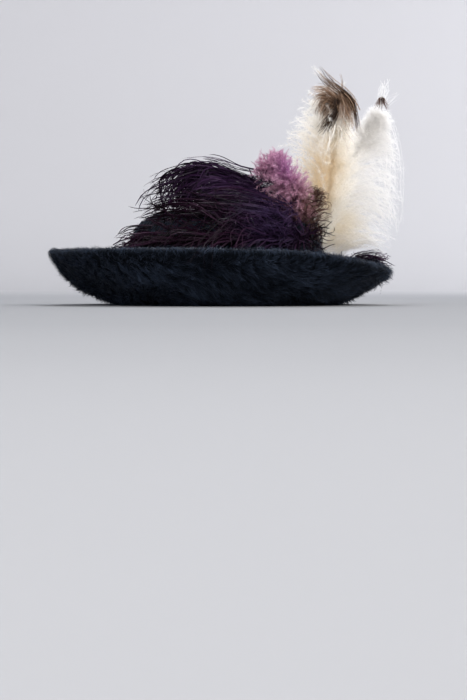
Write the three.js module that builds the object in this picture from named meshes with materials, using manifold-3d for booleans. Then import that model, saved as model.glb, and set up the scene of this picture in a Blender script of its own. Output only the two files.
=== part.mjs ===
// Picture hat: a wide turned-up brim and a domed crown of long-napped plush, an inner head band, and a
// trimming of ostrich plumes sewn to the crown's right front.
//
// Millimetres, +Z up, the front of the hat towards -Y. The hat stands on the flat ring round its head
// opening, at z = 0. The origin is the middle of the whole outline on that plane. Bearings are degrees
// about the head opening, 0 towards +X, 90 at the back, 180 towards -X and 270 at the front.

import * as THREE from 'three';
import { mergeVertices } from 'three/addons/utils/BufferGeometryUtils.js';
import Module from 'manifold-3d';

const wasm = await Module();
wasm.setup();

// Driving dimensions

const GAP = 0.3;
const HEAD = { x: 3, y: 0, width: 196, depth: 206 };
const BRIM = { x: -3, y: 0, width: 356, depth: 364, wall: 3, flat: 7, curl: 1.5, roll: 1.2 };
const CROWN = { wall: 2.5, base: BRIM.wall + GAP };
const BAND = { wall: 1.2, low: 1.5, high: 30 };
const QUILL_WIDTH = 3;
const QUILL_STEPS = 7;

// Flat facets round the brim, and round the crown and the head band
const BRIM_FACETS = 48;
const CROWN_FACETS = 32;

// Places across the brim's curled part where its section bends, as shares of the way
const BRIM_BENDS = [0.22, 0.42, 0.62, 0.82];

// Places along a lock, as shares of its length: root, belly and tip
const LOCK_STATIONS = [0, 0.55, 1];

// A lock narrows to this share of its width where its last taper starts
const LOCK_TAPER = 0.5;

// The stretch of a quill that carries locks, as shares of its length
const QUILL_DRESSED = { from: 0.12, to: 0.96 };

// Loose flues past a quill's end: where they leave it, how far they arch up for their length, and their
// width and depth beside those of the plume's other locks
const LOOSE_FLUE = { leaves: 0.94, arch: 0.12, width: 0.6, depth: 0.7 };

// Height of the brim's edge over the floor, every 30 degrees from bearing 0
const EDGE_RISE = [31, 27, 12, 7, 7, 17, 50, 53, 53.5, 53, 50, 40];

// The crown's outer wall: height over the floor, and girth as a share of the base
const CROWN_PROFILE = [
  { height: CROWN.base, girth: 1 },
  { height: 28, girth: 1.015 },
  { height: 56, girth: 1.01 },
  { height: 76, girth: 0.955 },
  { height: 90, girth: 0.82 },
  { height: 98, girth: 0.54 },
  { height: 100, girth: 0 },
];

// Rows of pile locks on the brim. Each lock turns through some degrees of bearing while it crosses the
// brim by the shares in `across`; `lift` is its height over the underside at root, belly and tip
const BRIM_PILE = [
  {
    count: 24, from: 0, to: 360, turn: 12,
    across: [0.99, 1.03, 1.045], lift: [1.5, 1.8, 2], width: 8, depth: 2.8,
  },
  {
    count: 8, from: 155, to: 375, turn: 24,
    across: [0.5, 0.57, 0.66], lift: [1.5, -2, -1.6], width: 18, depth: 3,
  },
  {
    count: 9, from: 0, to: 360, turn: 26,
    across: [0.5, 0.58, 0.66], lift: [1.5, 5, 4.6], width: 18, depth: 3,
  },
];

// Rows of pile locks on the crown: `climb` as shares of the way through the profile's rows, `lift` off
// the outer wall
const CROWN_PILE = [
  { count: 8, turn: 30, climb: [0.34, 0.3, 0.24], lift: [-1, 2, 1.5], width: 18, depth: 3 },
  { count: 7, turn: 30, climb: [0.62, 0.6, 0.55], lift: [-1, 2, 1.5], width: 15, depth: 3 },
];

// Plumes: each row is a place on the quill, with the reach of the locks to its right and left and the
// fall of their tips, seen along the quill to its tip with the broad face up. `sweep` leans the locks
// towards the quill's tip, and `splay` spreads their tips off the broad face, by turns. `tips` are the
// ends of the loose flues past the quill's end.
const PLUMES = [
  {
    name: 'plume_aubergine_wrap',
    colour: 0x211727,
    facing: null,
    pairs: 9,
    width: 28,
    depth: 10,
    sweep: 0.5,
    splay: [15, 6],
    quill: [
      aroundCrown({ bearing: 328, away: -4, z: 64, right: 18, left: 12, fall: 2 }),
      aroundCrown({ bearing: 310, away: 7, z: 70, right: 32, left: 26, fall: 3 }),
      aroundCrown({ bearing: 290, away: 9, z: 74, right: 38, left: 32, fall: 4 }),
      aroundCrown({ bearing: 268, away: 9, z: 75, right: 40, left: 34, fall: 5 }),
      aroundCrown({ bearing: 246, away: 9, z: 72, right: 36, left: 34, fall: 6 }),
      aroundCrown({ bearing: 224, away: 9, z: 67, right: 30, left: 30, fall: 6 }),
      aroundCrown({ bearing: 206, away: 8, z: 60, right: 20, left: 20, fall: 4 }),
    ],
    tips: [
      { x: -108, y: -30, z: 70 },
      { x: -110, y: -34, z: 52 },
    ],
  },
  {
    name: 'plume_aubergine_spray',
    colour: 0x2c1c35,
    facing: new THREE.Vector3(0, -1, 0.25),
    pairs: 8,
    width: 19,
    depth: 8,
    sweep: 1.1,
    splay: [18, -14],
    quill: [
      { x: 76, y: -52, z: 84, right: 8, left: 6, fall: 1 },
      { x: 48, y: -58, z: 106, right: 12, left: 16, fall: 3 },
      { x: 18, y: -62, z: 124, right: 14, left: 26, fall: 5 },
      { x: -12, y: -64, z: 135, right: 16, left: 32, fall: 7 },
      { x: -38, y: -66, z: 135, right: 16, left: 28, fall: 9 },
      { x: -60, y: -68, z: 126, right: 14, left: 16, fall: 9 },
    ],
    tips: [
      { x: -88, y: -72, z: 112 },
      { x: -88, y: -80, z: 97 },
      { x: -80, y: -60, z: 126 },
    ],
  },
  {
    name: 'plume_mauve',
    colour: 0x93637f,
    facing: new THREE.Vector3(0, -1, 0),
    pairs: 5,
    width: 18,
    depth: 10,
    sweep: 0.2,
    splay: [22, 4],
    quill: [
      { x: 74, y: -64, z: 84, right: 10, left: 8, fall: 2 },
      { x: 72, y: -70, z: 112, right: 18, left: 18, fall: 5 },
      { x: 65, y: -72, z: 130, right: 22, left: 24, fall: 6 },
      { x: 57, y: -76, z: 141, right: 18, left: 18, fall: 4 },
    ],
    tips: [
      { x: 46, y: -94, z: 138 },
      { x: 54, y: -84, z: 153 },
      { x: 38, y: -82, z: 134 },
    ],
  },
  {
    name: 'plume_brown',
    colour: 0x7d6051,
    facing: new THREE.Vector3(0, -1, 0),
    pairs: 4,
    width: 11,
    depth: 7,
    sweep: 0.5,
    splay: [14, -4],
    quill: [
      { x: 87, y: -36, z: 70, right: 8, left: 6, fall: 0 },
      { x: 94, y: -44, z: 98, right: 14, left: 12, fall: 2 },
      { x: 100, y: -46, z: 122, right: 12, left: 12, fall: 3 },
    ],
    tips: [
      { x: 108, y: -50, z: 135 },
      { x: 92, y: -48, z: 134 },
    ],
  },
  {
    name: 'plume_cream',
    colour: 0xe2d5c0,
    facing: new THREE.Vector3(0, -1, 0),
    pairs: 7,
    width: 31,
    depth: 11,
    sweep: 0.35,
    splay: [20, -14],
    quill: [
      { x: 101, y: -12, z: 54, right: 10, left: 10, fall: 0 },
      { x: 109, y: -16, z: 96, right: 26, left: 30, fall: 4 },
      { x: 113, y: -14, z: 132, right: 30, left: 46, fall: 8 },
      { x: 117, y: -12, z: 166, right: 28, left: 52, fall: 10 },
      { x: 117, y: -12, z: 198, right: 22, left: 38, fall: 8 },
      { x: 113, y: -14, z: 224, right: 16, left: 18, fall: 6 },
    ],
    tips: [
      { x: 100, y: -12, z: 257 },
      { x: 123, y: -16, z: 247 },
      { x: 140, y: -30, z: 194 },
      { x: 121, y: -36, z: 182 },
      { x: 104, y: -34, z: 190 },
    ],
  },
  {
    name: 'plume_white',
    colour: 0xebe8e4,
    facing: new THREE.Vector3(0, -1, 0),
    pairs: 7,
    width: 33,
    depth: 11,
    sweep: 0.35,
    splay: [14, -20],
    quill: [
      { x: 101, y: 18, z: 52, right: 14, left: 8, fall: 2 },
      { x: 110, y: 24, z: 92, right: 64, left: 16, fall: 26 },
      { x: 124, y: 24, z: 126, right: 58, left: 22, fall: 20 },
      { x: 142, y: 22, z: 160, right: 40, left: 24, fall: 14 },
      { x: 156, y: 19, z: 188, right: 24, left: 16, fall: 8 },
      { x: 165, y: 17, z: 208, right: 12, left: 8, fall: 2 },
    ],
    tips: [
      { x: 171, y: 16, z: 232 },
      { x: 178, y: 14, z: 214 },
    ],
  },
  {
    name: 'plume_dark',
    colour: 0x1b1320,
    facing: new THREE.Vector3(0, -0.4, 1),
    pairs: 4,
    width: 15,
    depth: 7,
    sweep: 0.6,
    splay: [8, -4],
    quill: [
      { x: 98, y: 42, z: 38, right: 10, left: 10, fall: 0 },
      { x: 122, y: 46, z: 46, right: 20, left: 18, fall: 2 },
      { x: 146, y: 38, z: 50, right: 22, left: 18, fall: 4 },
      { x: 162, y: 24, z: 51, right: 14, left: 12, fall: 6 },
    ],
    tips: [
      { x: 178, y: 4, z: 45 },
      { x: 183, y: 16, z: 53 },
    ],
  },
];

// Solids and joins

function toManifold(geometry) {
  geometry.deleteAttribute('normal');
  geometry.deleteAttribute('uv');
  const merged = mergeVertices(geometry, 1e-4);
  const vertProperties = new Float32Array(merged.attributes.position.array);
  const triVerts = new Uint32Array(merged.index.array);
  return new wasm.Manifold(new wasm.Mesh({ numProp: 3, vertProperties, triVerts }));
}

function toGeometry(manifold) {
  const mesh = manifold.getMesh();
  const geometry = new THREE.BufferGeometry();
  geometry.setAttribute('position', new THREE.BufferAttribute(new Float32Array(mesh.vertProperties), 3));
  geometry.setIndex(new THREE.BufferAttribute(new Uint32Array(mesh.triVerts), 1));
  geometry.computeVertexNormals();
  return geometry;
}

function fuse(solids) {
  return solids.reduce((joined, solid) => joined.add(solid));
}

// The largest body left after a cut, so that no clipped crumb stays beside it.
function largestBody(manifold) {
  const bodies = manifold.decompose();
  return bodies.reduce((largest, body) => (body.volume() > largest.volume() ? body : largest));
}

function indexedGeometry(points, triangles) {
  const geometry = new THREE.BufferGeometry();
  geometry.setAttribute('position', new THREE.Float32BufferAttribute(points.flatMap((p) => p.toArray()), 3));
  geometry.setIndex(triangles);
  return geometry;
}

// A band of quads between two rings of `size` points, the rings starting at `low` and `high`.
function band(low, high, size) {
  const triangles = [];
  for (let i = 0; i < size; i += 1) {
    const next = (i + 1) % size;
    triangles.push(low + i, low + next, high + next, low + i, high + next, high + i);
  }
  return triangles;
}

// A closed ring swept through sections, the last joined to the first.
function ringSolid(sections) {
  const size = sections[0].length;
  const triangles = sections.flatMap((section, i) => {
    return band(i * size, ((i + 1) % sections.length) * size, size);
  });
  return toManifold(indexedGeometry(sections.flat(), triangles));
}

// A lock of fibres: a flattened strip with a four-sided section that tapers to a point. `facings` holds
// the direction that its flat side looks along at each place on its path.
function lockSolid(path, facings, width, depth) {
  const last = path.length - 1;
  const points = path.slice(0, last).flatMap((centre, i) => {
    const along = path[i + 1].clone().sub(path[Math.max(i - 1, 0)]);
    const side = along.clone().cross(facings[i]).normalize();
    const out = side.clone().cross(along).normalize();
    const taper = 1 - (1 - LOCK_TAPER) * (i / last) ** 2;
    side.multiplyScalar((width / 2) * taper);
    out.multiplyScalar((depth / 2) * taper);
    return [
      centre.clone().add(side),
      centre.clone().sub(out),
      centre.clone().sub(side),
      centre.clone().add(out),
    ];
  });
  const tip = points.length;
  points.push(path[last]);
  const triangles = [0, 2, 1, 0, 3, 2];
  for (let ring = 0; ring < last - 1; ring += 1) {
    triangles.push(...band(ring * 4, (ring + 1) * 4, 4));
  }
  for (let i = 0; i < 4; i += 1) {
    triangles.push(tip - 4 + i, tip - 4 + ((i + 1) % 4), tip);
  }
  return toManifold(indexedGeometry(points, triangles));
}

// Measures round the head

function onEllipse(centre, bearing, halfWidth, halfDepth) {
  const angle = THREE.MathUtils.degToRad(bearing);
  return new THREE.Vector2(
    centre.x + halfWidth * Math.cos(angle),
    centre.y + halfDepth * Math.sin(angle),
  );
}

function aroundCrown({ bearing, away, z, ...reach }) {
  const reachOut = CROWN.wall + away;
  const place = onEllipse(HEAD, bearing, HEAD.width / 2 + reachOut, HEAD.depth / 2 + reachOut);
  return { x: place.x, y: place.y, z, ...reach };
}

// Brim

// The edge's height at any bearing: a cubic through the four nearest rows of the table.
function edgeRise(bearing) {
  const rows = EDGE_RISE.length;
  const place = (((bearing % 360) + 360) % 360) / (360 / rows);
  const row = Math.floor(place);
  const [a, b, c, d] = [-1, 0, 1, 2].map((step) => EDGE_RISE[(row + step + rows) % rows]);
  const t = place - row;
  return b + 0.5 * t * (c - a + t * (2 * a - 5 * b + 4 * c - d + t * (3 * (b - c) + d - a)));
}

// The underside at a bearing and a share of the way across: flat round the opening, then curling up.
function underside(bearing, across) {
  const inner = onEllipse(HEAD, bearing, HEAD.width / 2, HEAD.depth / 2);
  const outer = onEllipse(BRIM, bearing, BRIM.width / 2, BRIM.depth / 2);
  const flatShare = BRIM.flat / inner.distanceTo(outer);
  const curled = Math.max(0, (across - flatShare) / (1 - flatShare));
  const place = inner.lerp(outer, across);
  return new THREE.Vector3(place.x, place.y, edgeRise(bearing) * curled ** BRIM.curl);
}

// The brim's own upward direction at a place, from two short steps on the underside.
function brimUp(bearing, across) {
  const step = 0.01;
  const around = underside(bearing + 1, across).sub(underside(bearing - 1, across));
  const outward = underside(bearing, across + step).sub(underside(bearing, across));
  return outward.cross(around).normalize();
}

function brimPoint(bearing, across, lift) {
  return underside(bearing, across).addScaledVector(brimUp(bearing, across), lift);
}

// The brim's wall cut through at a bearing, grown on every side by `grow`.
function brimSection(bearing, grow) {
  const inner = onEllipse(HEAD, bearing, HEAD.width / 2, HEAD.depth / 2);
  const outer = onEllipse(BRIM, bearing, BRIM.width / 2, BRIM.depth / 2);
  const span = inner.distanceTo(outer);
  const steps = [-grow / span, BRIM.flat / span, ...BRIM_BENDS, 1 + grow / span];
  const under = steps.map((across) => brimPoint(bearing, across, -grow));
  const over = steps.map((across) => brimPoint(bearing, across, BRIM.wall + grow));
  const rim = brimPoint(bearing, 1 + (BRIM.roll + grow) / span, BRIM.wall / 2);
  return [...over, rim, ...under.reverse()];
}

function brimLocks(grow) {
  return BRIM_PILE.flatMap((row) => {
    const spacing = (row.to - row.from) / row.count;
    return Array.from({ length: row.count }, (_, i) => {
      const start = row.from + i * spacing;
      const stations = LOCK_STATIONS.map((share, j) => {
        return { bearing: start + row.turn * share, across: row.across[j], lift: row.lift[j] };
      });
      const path = stations.map((s) => brimPoint(s.bearing, s.across, s.lift));
      const facings = stations.map((s) => brimUp(s.bearing, s.across));
      return lockSolid(path, facings, row.width + 2 * grow, row.depth + 2 * grow);
    });
  });
}

function brimSolid(grow = 0) {
  const bearings = Array.from({ length: BRIM_FACETS }, (_, i) => (i * 360) / BRIM_FACETS);
  const wall = ringSolid(bearings.map((bearing) => brimSection(bearing, grow)));
  return fuse([wall, ...brimLocks(grow)]);
}

// Crown

// The crown's outer wall at a bearing and a share of the way through the profile's rows.
function crownWall(bearing, climb) {
  const place = climb * (CROWN_PROFILE.length - 1);
  const row = Math.min(Math.floor(place), CROWN_PROFILE.length - 2);
  const [low, high] = [CROWN_PROFILE[row], CROWN_PROFILE[row + 1]];
  const girth = THREE.MathUtils.lerp(low.girth, high.girth, place - row);
  const height = THREE.MathUtils.lerp(low.height, high.height, place - row);
  const halfWidth = (HEAD.width / 2 + CROWN.wall) * girth;
  const halfDepth = (HEAD.depth / 2 + CROWN.wall) * girth;
  const plan = onEllipse(HEAD, bearing, halfWidth, halfDepth);
  return new THREE.Vector3(plan.x, plan.y, height);
}

// The crown's own outward direction at a place, from short steps on the wall.
function crownOut(bearing, climb) {
  const step = 0.02;
  const around = crownWall(bearing + 1, climb).sub(crownWall(bearing - 1, climb));
  const upward = crownWall(bearing, climb + step).sub(crownWall(bearing, climb - step));
  return around.cross(upward).normalize();
}

function crownLocks(grow) {
  return CROWN_PILE.flatMap((row) => {
    return Array.from({ length: row.count }, (_, i) => {
      const start = (i * 360) / row.count;
      const stations = LOCK_STATIONS.map((share, j) => {
        return { bearing: start + row.turn * share, climb: row.climb[j], lift: row.lift[j] };
      });
      const facings = stations.map((s) => crownOut(s.bearing, s.climb));
      const path = stations.map((s, j) => {
        return crownWall(s.bearing, s.climb).addScaledVector(facings[j], s.lift);
      });
      return lockSolid(path, facings, row.width + 2 * grow, row.depth + 2 * grow);
    });
  });
}

// A dome turned about the vertical and stretched to the head's oval. `inset` moves its wall inwards, and
// `drop` carries its foot down past the crown's base.
function domeSolid(inset, drop = 0) {
  const top = CROWN_PROFILE.at(-1).height;
  const halfWidth = HEAD.width / 2 + CROWN.wall - inset;
  const halfDepth = HEAD.depth / 2 + CROWN.wall - inset;
  const squeeze = (top - inset - CROWN.base) / (top - CROWN.base);
  const wall = CROWN_PROFILE.map(({ height, girth }) => {
    return new THREE.Vector2(halfWidth * girth, CROWN.base + (height - CROWN.base) * squeeze);
  });
  wall[0].y -= drop;
  const dome = new THREE.LatheGeometry([new THREE.Vector2(0, wall[0].y), ...wall], CROWN_FACETS);
  dome.rotateX(Math.PI / 2);
  dome.scale(1, halfDepth / halfWidth, 1);
  dome.translate(HEAD.x, HEAD.y, 0);
  return toManifold(dome);
}

function crownSolid() {
  const hollow = domeSolid(CROWN.wall, 1);
  return fuse([domeSolid(0), ...crownLocks(0)]).subtract(hollow);
}

// The crown with its hollow filled, grown by the gap, that keeps the trimming off it.
function crownClearance() {
  return fuse([domeSolid(-GAP), ...crownLocks(GAP)]);
}

// Head band

function headBandSolid() {
  const outerRadius = HEAD.width / 2 - GAP;
  const innerRadius = outerRadius - BAND.wall;
  const profile = [
    new THREE.Vector2(innerRadius, BAND.low),
    new THREE.Vector2(outerRadius, BAND.low),
    new THREE.Vector2(outerRadius, BAND.high),
    new THREE.Vector2(innerRadius, BAND.high),
    new THREE.Vector2(innerRadius, BAND.low),
  ];
  const ring = new THREE.LatheGeometry(profile, CROWN_FACETS);
  ring.rotateX(Math.PI / 2);
  ring.scale(1, (HEAD.depth / 2 - GAP) / outerRadius, 1);
  ring.translate(HEAD.x, HEAD.y, 0);
  return toManifold(ring);
}

// Plumes

// Reads a column of the quill's table at a share of its length.
function columnAt(rows, share, column) {
  const place = share * (rows.length - 1);
  const row = Math.min(Math.floor(place), rows.length - 2);
  return THREE.MathUtils.lerp(rows[row][column], rows[row + 1][column], place - row);
}

// The direction that the plume's broad side looks along: its own, or straight out from the crown.
function plumeFacing(plume, place) {
  if (plume.facing) {
    return plume.facing.clone().normalize();
  }
  return new THREE.Vector3(place.x - HEAD.x, place.y - HEAD.y, 0).normalize();
}

// One lock from the quill: out to its reach, leaning along the quill, the tip splayed and falling.
function plumeLock(plume, curve, share, side, splay, grow) {
  const root = curve.getPoint(share);
  const along = curve.getTangent(share);
  const facing = plumeFacing(plume, root);
  const across = along.clone().cross(facing).normalize().multiplyScalar(side);
  const reach = columnAt(plume.quill, share, side > 0 ? 'right' : 'left');
  const fall = columnAt(plume.quill, share, 'fall');
  const path = LOCK_STATIONS.map((u) => {
    return root.clone()
      .addScaledVector(across, reach * u)
      .addScaledVector(along, plume.sweep * reach * u)
      .addScaledVector(facing, splay * Math.sin((Math.PI / 2) * u))
      .add(new THREE.Vector3(0, 0, -fall * u * u));
  });
  return lockSolid(path, path.map(() => facing), plume.width + 2 * grow, plume.depth + 2 * grow);
}

// A loose flue from near the quill's end to its own tip, rising a little on the way.
function tipLock(plume, curve, tip, grow) {
  const root = curve.getPoint(LOOSE_FLUE.leaves);
  const end = new THREE.Vector3(tip.x, tip.y, tip.z);
  const arch = root.distanceTo(end) * LOOSE_FLUE.arch;
  const path = LOCK_STATIONS.map((u) => {
    return root.clone().lerp(end, u).add(new THREE.Vector3(0, 0, arch * Math.sin(Math.PI * u)));
  });
  const facings = path.map(() => plumeFacing(plume, root));
  const width = plume.width * LOOSE_FLUE.width + 2 * grow;
  const depth = plume.depth * LOOSE_FLUE.depth + 2 * grow;
  return lockSolid(path, facings, width, depth);
}

function plumeSolid(plume, grow = 0) {
  const curve = new THREE.CatmullRomCurve3(plume.quill.map(({ x, y, z }) => new THREE.Vector3(x, y, z)));
  const quillPath = curve.getPoints(QUILL_STEPS);
  const quillFacings = quillPath.map((place) => plumeFacing(plume, place));
  const quillWidth = QUILL_WIDTH + 2 * grow;
  const quill = lockSolid(quillPath, quillFacings, quillWidth, quillWidth);
  const locks = Array.from({ length: plume.pairs }, (_, i) => {
    const share = THREE.MathUtils.lerp(QUILL_DRESSED.from, QUILL_DRESSED.to, i / (plume.pairs - 1));
    return [1, -1].map((side, j) => plumeLock(plume, curve, share, side, plume.splay[(i + j) % 2], grow));
  });
  const tips = plume.tips.map((tip) => tipLock(plume, curve, tip, grow));
  return fuse([quill, ...locks.flat(), ...tips]);
}

// The trimming, laid on piece by piece: each plume is cut clear of the hat and of those before it.
function trimmingMeshes() {
  let taken = fuse([crownClearance(), brimSolid(GAP)]);
  return PLUMES.map((plume) => {
    const solid = largestBody(plumeSolid(plume).subtract(taken));
    taken = taken.add(plumeSolid(plume, GAP));
    return namedMesh(plume.name, solid, { color: plume.colour, roughness: 0.75, metalness: 0 });
  });
}

// Assembly

function namedMesh(name, manifold, look) {
  const mesh = new THREE.Mesh(toGeometry(manifold), new THREE.MeshStandardMaterial(look));
  mesh.name = name;
  return mesh;
}

const hat = new THREE.Group();
hat.add(namedMesh('brim', brimSolid(), { color: 0x0f131a, roughness: 0.8, metalness: 0 }));
hat.add(namedMesh('crown', crownSolid(), { color: 0x0f131a, roughness: 0.8, metalness: 0 }));
hat.add(namedMesh('head_band', headBandSolid(), { color: 0x2a1d17, roughness: 0.9, metalness: 0 }));
hat.add(...trimmingMeshes());

export default hat;
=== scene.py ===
"""Picture hat, dressed: long-napped plush on a turned-up brim and a domed crown, a grosgrain head band inside
the opening, and ostrich plumes sewn to the crown's right front.

All sizes are millimetres until build_mesh writes them, in metres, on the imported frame. +Z is up, the front
of the hat faces -Y, and the hat stands on the flat ring round its head opening, at z = 0. Bearings are
degrees about the opening, 0 towards +X, 90 at the back, 180 towards -X and 270 at the front.
"""

import logging
import math
from dataclasses import dataclass, replace
from enum import Enum

import bpy
import numpy as np
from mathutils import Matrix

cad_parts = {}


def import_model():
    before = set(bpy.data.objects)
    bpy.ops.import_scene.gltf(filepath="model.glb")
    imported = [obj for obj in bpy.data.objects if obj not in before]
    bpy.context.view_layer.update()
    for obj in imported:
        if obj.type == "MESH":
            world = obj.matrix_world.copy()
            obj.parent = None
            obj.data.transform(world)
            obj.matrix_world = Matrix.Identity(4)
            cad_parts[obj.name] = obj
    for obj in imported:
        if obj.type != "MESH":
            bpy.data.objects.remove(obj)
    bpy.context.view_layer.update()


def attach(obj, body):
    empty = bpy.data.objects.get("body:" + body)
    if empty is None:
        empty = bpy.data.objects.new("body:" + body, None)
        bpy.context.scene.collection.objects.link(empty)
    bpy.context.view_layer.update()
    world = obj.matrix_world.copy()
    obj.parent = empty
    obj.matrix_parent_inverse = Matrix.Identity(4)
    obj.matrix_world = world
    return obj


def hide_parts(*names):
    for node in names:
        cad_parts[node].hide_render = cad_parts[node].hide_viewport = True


LOG = logging.getLogger("picture_hat")

# Metres in a millimetre, the seed of every random draw, straight down, how low a fibre may lie in
# millimetres, and the angle in degrees that spreads seats evenly.
MM = 0.001
SEED = 1908
DOWN = np.array([0.0, 0.0, -1.0])
FLOOR_CLEARANCE = 0.3
GOLDEN_ANGLE = 137.50776


# Vectors and curves


def unit(vectors: np.ndarray) -> np.ndarray:
    """Scales vectors to length one."""
    return vectors / np.maximum(np.linalg.norm(vectors, axis=-1, keepdims=True), 1e-9)


def turned(vectors: np.ndarray, axes: np.ndarray, degrees: np.ndarray) -> np.ndarray:
    """Turns vectors about unit axes: v cos a + (k x v) sin a + k (k . v)(1 - cos a).

    Args:
        vectors: the vectors to turn, (..., 3).
        axes: unit axes that broadcast against them.
        degrees: the angles, without the last axis.

    Returns:
        The turned vectors.
    """
    angle = np.radians(degrees)[..., None]
    cosine, sine = np.cos(angle), np.sin(angle)
    along = np.sum(axes * vectors, axis=-1, keepdims=True)
    return vectors * cosine + np.cross(axes, vectors) * sine + axes * along * (1 - cosine)


def smooth_step(values: np.ndarray, low: float, high: float) -> np.ndarray:
    """Rises from 0 at low to 1 at high as 3t^2 - 2t^3."""
    t = np.clip((values - low) / (high - low), 0, 1)
    return t * t * (3 - 2 * t)


def through(rows: np.ndarray, place: np.ndarray, closed: bool = False) -> np.ndarray:
    """Reads a table as a smooth curve: the cubic through the four nearest rows a, b, c, d.

    Args:
        rows: the table, (rows, columns).
        place: row numbers with fractions, any shape.
        closed: whether the last row is followed by the first.

    Returns:
        The columns at each place, place.shape + (columns,).
    """
    count = len(rows)
    place = np.asarray(place, float) if closed else np.clip(place, 0, count - 1)
    row = np.floor(place).astype(int) if closed else np.minimum(np.floor(place).astype(int), count - 2)
    steps = [(row + k) % count if closed else np.clip(row + k, 0, count - 1) for k in (-1, 0, 1, 2)]
    a, b, c, d = (rows[step] for step in steps)
    t = (place - row)[..., None]
    return b + 0.5 * t * (c - a + t * (2 * a - 5 * b + 4 * c - d + t * (3 * (b - c) + d - a)))


# Meshes


def build_mesh(
    name: str,
    points: np.ndarray,
    faces: list[np.ndarray],
    values: dict[str, np.ndarray] | None = None,
    closed: bool = False,
) -> bpy.types.Object:
    """Makes an object from whole arrays, turning millimetres into metres.

    Args:
        name: the object's name.
        points: the vertices in millimetres, (n, 3).
        faces: arrays of faces, each (m, corners).
        values: named numbers for each vertex, kept as attributes.
        closed: whether the faces bound a solid, which is then turned to face outwards.

    Returns:
        The object, linked to the scene, at the origin.
    """
    if closed and signed_volume(points, faces) < 0:
        faces = [group[:, ::-1] for group in faces]
    corners = np.concatenate([group.ravel() for group in faces])
    sizes = np.concatenate([np.full(len(group), group.shape[1]) for group in faces])
    mesh = bpy.data.meshes.new(name)
    mesh.vertices.add(len(points))
    mesh.vertices.foreach_set("co", (points * MM).astype(np.float32).ravel())
    mesh.loops.add(len(corners))
    mesh.loops.foreach_set("vertex_index", corners.astype(np.int32))
    mesh.polygons.add(len(sizes))
    mesh.polygons.foreach_set("loop_start", (np.cumsum(sizes) - sizes).astype(np.int32))
    mesh.update(calc_edges=True)
    mesh.shade_smooth()
    for key, numbers in (values or {}).items():
        layer = mesh.attributes.new(key, "FLOAT", "POINT")
        layer.data.foreach_set("value", numbers.astype(np.float32).ravel())
    piece = bpy.data.objects.new(name, mesh)
    bpy.context.scene.collection.objects.link(piece)
    return piece


def signed_volume(points: np.ndarray, faces: list[np.ndarray]) -> float:
    """Six times the volume inside the faces: each face's fan of triangles with the origin, summed.

    Args:
        points: the vertices, (n, 3).
        faces: arrays of faces, each (m, corners).

    Returns:
        The sum, above zero where the faces look outwards.
    """
    total = 0.0
    for group in faces:
        for k in range(1, group.shape[1] - 1):
            a, b, c = points[group[:, 0]], points[group[:, k]], points[group[:, k + 1]]
            total += float(np.sum(a * np.cross(b, c)))
    return total


def grid_faces(rows: int, columns: int, wrap_rows: bool, wrap_columns: bool) -> np.ndarray:
    """Quads over a grid of points, row after row.

    Args:
        rows: the number of rows.
        columns: points in a row.
        wrap_rows: whether the last row joins the first.
        wrap_columns: whether a row's last point joins its first.

    Returns:
        The quads, (n, 4).
    """
    row = np.arange(rows if wrap_rows else rows - 1)[:, None]
    column = np.arange(columns if wrap_columns else columns - 1)[None, :]
    next_row, next_column = (row + 1) % rows, (column + 1) % columns
    corners = [
        row * columns + column,
        row * columns + next_column,
        next_row * columns + next_column,
        next_row * columns + column,
    ]
    return np.stack(corners, axis=-1).reshape(-1, 4)


def torus_mesh(name: str, sections: np.ndarray) -> bpy.types.Object:
    """A closed ring of closed sections, (bearings, points, 3).

    Args:
        name: the object's name.
        sections: the section at each bearing, in order.

    Returns:
        The object.
    """
    bearings, points = sections.shape[:2]
    return build_mesh(name, sections.reshape(-1, 3), [grid_faces(bearings, points, True, True)], closed=True)


def capped_mesh(name: str, rings: np.ndarray) -> bpy.types.Object:
    """A closed tube through rings of points, its two ends capped by flat faces.

    Args:
        name: the object's name.
        rings: the rings in order, (rings, points, 3).

    Returns:
        The object.
    """
    count, size = rings.shape[:2]
    first = np.arange(size)[::-1][None, :]
    last = (np.arange(size) + (count - 1) * size)[None, :]
    faces = [grid_faces(count, size, False, True), first, last]
    return build_mesh(name, rings.reshape(-1, 3), faces, closed=True)


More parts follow.
